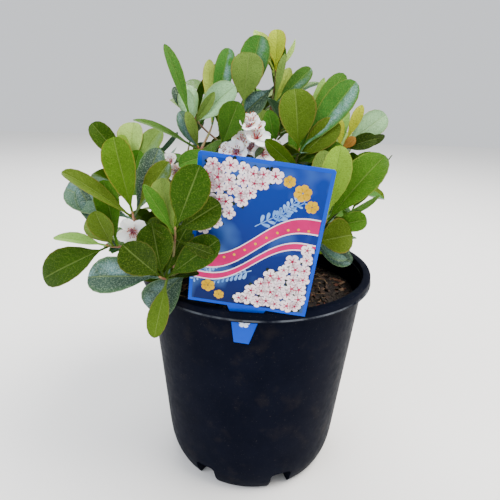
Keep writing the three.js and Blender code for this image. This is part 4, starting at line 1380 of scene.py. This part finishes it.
class Crown:
    """Leaves, twigs and leaf buds, and the points that have to stay in sight."""

    def __init__(self):
        self.leaves = []
        self.lows = np.zeros((MOST_LEAVES, 3))
        self.highs = np.zeros((MOST_LEAVES, 3))
        self.twigs = Heap()
        self.buds = Heap()
        self.in_sight = []
        self.sight_views = None
        self.card = self.card_space()

    def card_space(self):
        """The label's card as a tree of faces, so that leaves can keep clear of it."""
        half = CARD_WIDTH / 2 + CARD_ROOM
        low = -CARD_ROOM
        high = CARD_HEIGHT + CARD_ROOM
        corners = [Vector((x, 0, z)) * MM
                   for x, z in ((-half, low), (half, low), (half, high), (-half, high))]
        corners = [(card_place() @ corner) / MM for corner in corners]
        return BVHTree.FromPolygons(corners, [(0, 1, 2, 3)])

    def is_clear(self, points, tree, space):
        """Whether a leaf keeps to its space and clear of the pot, the card, leaves and sky."""
        low, high = points.min(0), points.max(0)
        if (low < space[0]).any() or (high > space[1]).any():
            return False
        radius = np.hypot(points[:, 0], points[:, 1])
        near_pot = ((points[:, 2] < RIM_TOP + ROOM_OVER_RIM)
                    & (radius < RIM_RADIUS + ROOM_ROUND_RIM))
        if near_pot.any() or tree.overlap(self.card):
            return False
        count = len(self.leaves)
        near = (self.lows[:count] <= high).all(1) & (self.highs[:count] >= low).all(1)
        if any(tree.overlap(self.leaves[i]["tree"]) for i in np.flatnonzero(near)):
            return False
        seen = in_view(points)
        return not fills_a_gap(seen) and not self.hides_a_leaf(seen, tree)

    def hides_a_leaf(self, seen, tree):
        """Whether a leaf would stand in front of one that the photograph shows."""
        if self.sight_views is None:
            self.sight_views = in_view(self.in_sight)
        inside = (self.sight_views > seen.min(0)) & (self.sight_views < seen.max(0))
        eye = CAMERA_PLACE / MM
        for index in np.flatnonzero(inside.all(1)):
            ray = Vector(self.in_sight[index]) - eye
            if tree.ray_cast(eye, ray.normalized(), ray.length - SIGHT_GAP)[0] is not None:
                return True
        return False

    def put_leaf(self, leaf, tone, space=None):
        """Adds a leaf. Where it is given a space, it has to fit there and be in nobody's way."""
        points, places = leaf_mesh(leaf)
        tree = BVHTree.FromPolygons(points.tolist(), BLADE_FACES)
        if space is not None and not self.is_clear(points, tree, space):
            return False
        count = len(self.leaves)
        self.lows[count] = points.min(0)
        self.highs[count] = points.max(0)
        self.leaves.append({"points": points, "places": places, "tree": tree, "tone": tone,
                            "deal": chance(leaf["seed"] + 0.4), "shine": leaf["shine"]})
        if space is None:
            self.in_sight.extend(points[SIGHT_POINTS])
        return True

    def put_ruled(self, controls, count, seed, first_below, space, tones):
        """Leaves by the rule. One that is in the way turns aside, or isn't grown."""
        for index in range(count):
            tone = tones[int(chance(seed + index + 0.77) * len(tones))]
            for aside in TURNS_ASIDE:
                leaf = ruled_leaf(controls, index, count, seed, first_below, aside)
                if self.put_leaf(leaf, tone, space):
                    break

    def put_twig(self, controls, root_radius, seed):
        add_twig(self.twigs, controls, root_radius, TWIG_TIP_RADIUS, seed)
        add_bud(self.buds, controls[-1], curve_way(controls, 1), BUD_LENGTH)

    def put_shoot(self, controls, count, seed, space, tones):
        """A shoot with leaves by the rule. One that would carry few of them isn't grown."""
        tip = np.array(controls[-1])
        if (tip < space[0]).any() or (tip > space[1]).any() or fills_a_gap(in_view([tip]), TIP_ROOM):
            return
        before = len(self.leaves)
        self.put_ruled(controls, count, seed, 1, space, tones)
        if len(self.leaves) - before < FEWEST_LEAVES:
            del self.leaves[before:]
        else:
            self.put_twig(controls, TWIG_ROOT_RADIUS, seed)


def fills_a_gap(seen, room=0.0):
    """Whether points in the photograph's frame lie where sky or soil shows past the leaves."""
    return any((np.hypot(seen[:, 0] - x, seen[:, 1] - y) < radius + room).any()
               for x, y, radius in OPEN_VIEWS)


def side_shoot(leader, index, sides, seed):
    """The controls of a shoot that the rule adds to the side of a leader."""
    start = FIRST_SIDE_SHOOT + SIDE_SHOOT_SPAN * index / sides
    axis = curve_way(leader, start)
    spoke = turned_about(square_to(axis, BACK), axis, GOLDEN_ANGLE * index + 360 * chance(seed))
    way = axis * SIDE_SHOOT_ALONG + spoke * SIDE_SHOOT_OUT
    root = on_curve(leader, start)
    reach = SIDE_SHOOT_REACH + SIDE_SHOOT_SPREAD * chance(seed + index)
    return [root, root + way * reach / 2 - UP * SIDE_SHOOT_SAG, root + way * reach]


def owner_box(mass):
    """The space of one mass, with a little room round it, inside that of the whole crown."""
    low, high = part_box(f"foliage_{mass['name']}")
    whole_low, whole_high = crown_box()
    return (np.maximum(np.array(low) / MM - MASS_ROOM, whole_low),
            np.minimum(np.array(high) / MM + MASS_ROOM, whole_high))


def crown_box():
    boxes = [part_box(node) for node in MASS_NODES]
    low = np.min([np.array(box[0]) for box in boxes], 0)
    high = np.max([np.array(box[1]) for box in boxes], 0)
    return low / MM, high / MM


def spray_tones(seed):
    """The tones that one spray's leaves are dealt from."""
    sets = (("mid", "olive", "deep"), ("dark", "blue", "deep"), ("olive", "fresh", "mid"),
            ("fresh", "lime", "bright"), ("deep", "bright", "grey"), ("bright", "moss", "spring"))
    return sets[int(chance(seed) * len(sets))]


def grow_chosen(crown, mass):
    """A mass's shoots, with the leaves that the photograph shows."""
    way = curve_way(bough_controls(mass), 1)
    start = Vector(mass["tip"]) + way * BOUGH_GAP
    leader = twig_controls(start, way, mass["shoots"][0])
    fork = on_curve(leader, FORK_PLACE)
    fork_way = curve_way(leader, FORK_PLACE)
    for index, shoot in enumerate(mass["shoots"]):
        controls = leader if index == 0 else twig_controls(fork, fork_way, shoot)
        root_radius = BOUGH_TIP_RADIUS if index == 0 else TWIG_ROOT_RADIUS
        shoot["controls"] = controls
        crown.put_twig(controls, root_radius, mass["seed"] + index)
        for number, row in enumerate(shoot["leaves"]):
            leaf = chosen_leaf(controls, number, row, mass["seed"] + 3.1 * index + 0.7 * number)
            crown.put_leaf(leaf, leaf["tone"])
        for clock, lean, stalk, _ in shoot.get("flowers", []):
            crown.in_sight.append(np.array(controls[-1] + pointing(clock, lean) * stalk))


def grow_by_rule(crown, mass):
    """The leaves and side shoots that the rule adds to a mass."""
    space = owner_box(mass)
    seed = mass["seed"]
    for index, shoot in enumerate(mass["shoots"]):
        first_below = 1 + LEAF_SPACING * len(shoot["leaves"])
        crown.put_ruled(shoot["controls"], shoot["spare"], seed + index, first_below, space,
                        spray_tones(seed + index))
    for i in range(mass["sides"]):
        shoot_seed = seed + 7 * (i + 1)
        controls = side_shoot(mass["shoots"][0]["controls"], i, mass["sides"], shoot_seed)
        crown.put_shoot(controls, SIDE_SHOOT_LEAVES, shoot_seed + 5.5, space,
                        spray_tones(shoot_seed))


def nearest_bough(tip):
    """A place on the bough that comes nearest to a point, and the way the bough grows there."""
    places = [(bough_controls(mass), t) for mass in MASSES for t in BOUGH_PLACES]
    bough, t = min(places, key=lambda place: (on_curve(*place) - tip).length)
    return on_curve(bough, t), curve_way(bough, t)


def fill_ring(crown, height, reach, count, first_turn):
    """A ring of shoots that lean outwards, the more so the further out they end."""
    space = crown_box()
    for i in range(count):
        seed = 10 * height + 3 * i
        turn = math.radians(first_turn + 360 * i / count
                            + spread(-FILL_TURN_JITTER, FILL_TURN_JITTER, seed))
        outward = Vector((math.cos(turn), math.sin(turn), 0))
        distance = reach + spread(-FILL_JITTER, FILL_JITTER, seed + 0.2)
        lift = height + spread(-FILL_JITTER, FILL_JITTER, seed + 0.4)
        tip = Vector((*CROWN_MIDDLE, lift)) + outward * distance
        tip_way = (outward * distance / FILL_UPRIGHT_REACH + UP * FILL_UPRIGHT).normalized()
        root, root_way = nearest_bough(tip)
        third = (tip - root).length / 3
        controls = [root, root + root_way * third, tip - tip_way * third, tip]
        crown.put_shoot(controls, FILL_LEAVES, seed, space, spray_tones(seed))


def grow(crown):
    for mass in MASSES:
        grow_chosen(crown, mass)
    for mass in MASSES:
        grow_by_rule(crown, mass)
    for ring in FILL_RINGS:
        fill_ring(crown, *ring)


def make_crown(crown):
    for tone in TONES:
        heap = Heap()
        for leaf in crown.leaves:
            if leaf["tone"] == tone:
                heap.put(leaf["points"], LEAF_FACES, leaf["places"], LEAF_SLOTS,
                         leaf["deal"], leaf["shine"])
        heap.piece(f"leaves_{tone}", "foliage", [leaf_upper(tone), leaf_under(tone)], crease=17)
    crown.twigs.piece("twigs", "bark", [young_bark()], *MASS_NODES)
    bud_scales = plain_finish("Crimson bud scales", "#93303a", 0.45, 2.5, 1.0, "#8a7a3c")
    crown.buds.piece("leaf_buds", "foliage", [bud_scales])


# Blossom
def petal_shape(seat, out, look, size, opening, seed):
    """A petal: a broad blade that rises from the cup and turns outwards."""
    half = PETAL_HALF_WIDTHS * size * spread(0.74, 1.0, seed)
    t = PETAL_ROWS[:, None]
    u = PETAL_ACROSS[None, :]
    side = np.cross(look, out)
    flare = math.radians(opening)
    ruffle = 0.05 * size * np.sin(5 * u + 6.28 * chance(seed + 0.1)) * t ** 2
    cup = 0.16 * size * u ** 2 * (1 - 0.6 * t) + ruffle
    along = size * (t * math.sin(flare) + 0.12 * t ** 2)
    rise = size * (t * math.cos(flare) - 0.16 * t ** 2) + cup
    top = (seat + along[..., None] * out + (u * half[:, None])[..., None] * side
           + rise[..., None] * look)
    low = top - PETAL_THICKNESS * look
    return top, low, np.stack([(u + 1) / 2 + 0 * t, t + 0 * u], axis=-1)


def petal_faces(rows, columns):
    """Faces of a petal's two sides, which share the points on its rim."""
    first = rows * columns
    quads = [(i, j) for i in range(rows - 1) for j in range(columns - 1)]

    def at(i, j):
        return i * columns + j

    def under(i, j):
        if i in (0, rows - 1) or j in (0, columns - 1):
            return at(i, j)
        return first + (i - 1) * (columns - 2) + j - 1

    top = [(at(i, j), at(i + 1, j), at(i + 1, j + 1), at(i, j + 1)) for i, j in quads]
    low = [(under(i, j), under(i, j + 1), under(i + 1, j + 1), under(i + 1, j)) for i, j in quads]
    return top + low


PETAL_FACES = petal_faces(len(PETAL_ROWS), len(PETAL_ACROSS))
INNER = (slice(1, -1), slice(1, -1))


class Blossom:
    """Petals, calyces with their stalks, filaments and anthers, each kind apart."""

    def __init__(self):
        self.petals = Heap()
        self.stalks = Heap()
        self.filaments = Heap()
        self.anthers = Heap()

    def flower(self, root, row, seed):
        """One flower at the end of its stalk, turned between that and the viewer."""
        clock, lean, stalk, width = row
        way = pointing(clock, lean)
        seat = root + way * stalk
        look = (way + VIEWER + pointing(360 * chance(seed + 0.2), 0) * 0.35).normalized()
        bow = root.lerp(seat, 0.5) - UP * 0.8
        line = [on_curve([root, bow, seat], i / 6) for i in range(7)]
        self.stalks.put(*tube(line, [0.55] * 6 + [0.8], 6))
        cup = [seat - look * 1.6, seat - look * 0.8, seat + look * 0.2, seat + look * 0.7]
        self.stalks.put(*tube(cup, [0.7, 1.3, 1.5, 1.0], 8))
        opening = (spread(LEAST_OPEN, MOST_OPEN, seed)
                   + OPENING_BY_WIDTH * (width - NARROWEST_FLOWER))
        across = square_to(look, UP)
        size = width * PETAL_SHARE
        for k in range(PETAL_COUNT):
            turn = (360 / PETAL_COUNT * k + 60 * chance(seed + 0.4)
                    + 8 * (chance(seed + k) - 0.5))
            out = turned_about(across, look, turn)
            tilt = opening + 14 * (chance(seed + k + 0.5) - 0.5)
            top, low, maps = petal_shape(np.array(seat + look * 0.4), np.array(out),
                                         np.array(look), size, tilt, seed + 0.13 * k)
            points = np.concatenate([top.reshape(-1, 3), low[INNER].reshape(-1, 3)])
            places = np.concatenate([maps.reshape(-1, 2), maps[INNER].reshape(-1, 2)])
            self.petals.put(points, PETAL_FACES, places)
            tip = seat + out * 2.6 - look * 0.4
            self.stalks.put(*tube([seat, seat.lerp(tip, 0.6), tip], [0.7, 0.5, 0.06], 4))
        self.stamens(seat, look, across, seed)

    def stamens(self, seat, look, across, seed):
        for k in range(STAMEN_COUNT):
            turn = 360 / STAMEN_COUNT * k + 20 * chance(seed + k)
            out = turned_about(across, look, turn)
            lean = math.radians(spread(18, 46, seed + 0.3 * k))
            way = look * math.cos(lean) + out * math.sin(lean)
            length = spread(3.6, 5.4, seed + 0.7 * k)
            foot = seat + out * 0.5 + look * 0.5
            tip = foot + way * length
            bow = foot.lerp(tip, 0.5) + look * 0.4
            line = [on_curve([foot, bow, tip], i / 3) for i in range(4)]
            self.filaments.put(*tube(line, [0.26, 0.22, 0.18, 0.14], 4))
            knob = [tip - way * 0.1, tip + way * 0.3, tip + way * 0.7]
            self.anthers.put(*tube(knob, [0.25, 0.42, 0.15], 5))


def make_blossom():
    blossom = Blossom()
    for mass in MASSES:
        for index, shoot in enumerate(mass["shoots"]):
            for number, row in enumerate(shoot.get("flowers", [])):
                seed = mass["seed"] + 11 * index + 1.7 * number
                blossom.flower(shoot["controls"][-1], row, seed)
    blossom.petals.piece("petals", "foliage", [petal()])
    stalk = plain_finish("Red-green flower stalk", "#8d4a3f", 0.5, 2.2, 0.5, "#6f7a38")
    blossom.stalks.piece("flower_stalks", "foliage", [stalk])
    crimson = plain_finish("Crimson filament", "#960a2c", 0.5, 2.0, 0.3, "#c23a5c")
    blossom.filaments.piece("filaments", "foliage", [crimson])
    pollen = plain_finish("Orange pollen sac", "#b4571c", 0.6, 1.0, 0.5, "#6e1f1c")
    blossom.anthers.piece("anthers", "foliage", [pollen])


# Floor, light and camera
def make_floor():
    deselect()
    bpy.ops.mesh.primitive_plane_add(size=6, location=(0, 0, 0))
    floor = bpy.context.object
    floor.name = "studio_floor"
    set_materials(floor, plain_finish("Pale matt board", "#f2f1ef", 0.9, 400, 0.03, "#dddcda"))


def add_area_light(name, place, target, size, power, colour):
    data = bpy.data.lights.new(name, "AREA")
    data.shape = "DISK"
    data.size = size
    data.energy = power
    data.color = linear(colour)[:3]
    light = bpy.data.objects.new(name, data)
    light.location = place
    light.rotation_mode = "QUATERNION"
    way = Vector(target) - Vector(place)
    light.rotation_quaternion = way.to_track_quat("-Z", "Y")
    bpy.context.collection.objects.link(light)


def make_light():
    add_area_light("sky_key", (0.85, -0.2, 1.75), (0, 0, 0.2), 1.3, 66, "#fffaf2")
    add_area_light("sky_fill", (-1.1, -0.9, 1.4), (0, 0, 0.2), 1.3, 22, "#f2f6ff")
    add_area_light("sky_back", (-0.3, 1.2, 1.7), (0, 0, 0.25), 1.4, 40, "#ffffff")
    world = bpy.data.worlds.new("Pale studio")
    world.use_nodes = True
    background = world.node_tree.nodes["Background"]
    background.inputs["Color"].default_value = linear("#f4f7fc")
    background.inputs["Strength"].default_value = 1.0
    bpy.context.scene.world = world


def make_camera():
    forward, right, up = view_axes()
    data = bpy.data.cameras.new("camera")
    data.lens = CAMERA_LENS
    data.sensor_width = CAMERA_SENSOR
    camera = bpy.data.objects.new("camera", data)
    turn = Matrix((right, up, -forward)).transposed().to_4x4()
    camera.matrix_world = Matrix.Translation(CAMERA_PLACE) @ turn
    bpy.context.collection.objects.link(camera)
    bpy.context.scene.camera = camera


make_camera()
make_floor()
make_light()
make_pot()
make_soil()
make_chips()
make_root_fibres()
make_card()
make_print()
make_wood()
crown = Crown()
grow(crown)
make_crown(crown)
make_blossom()
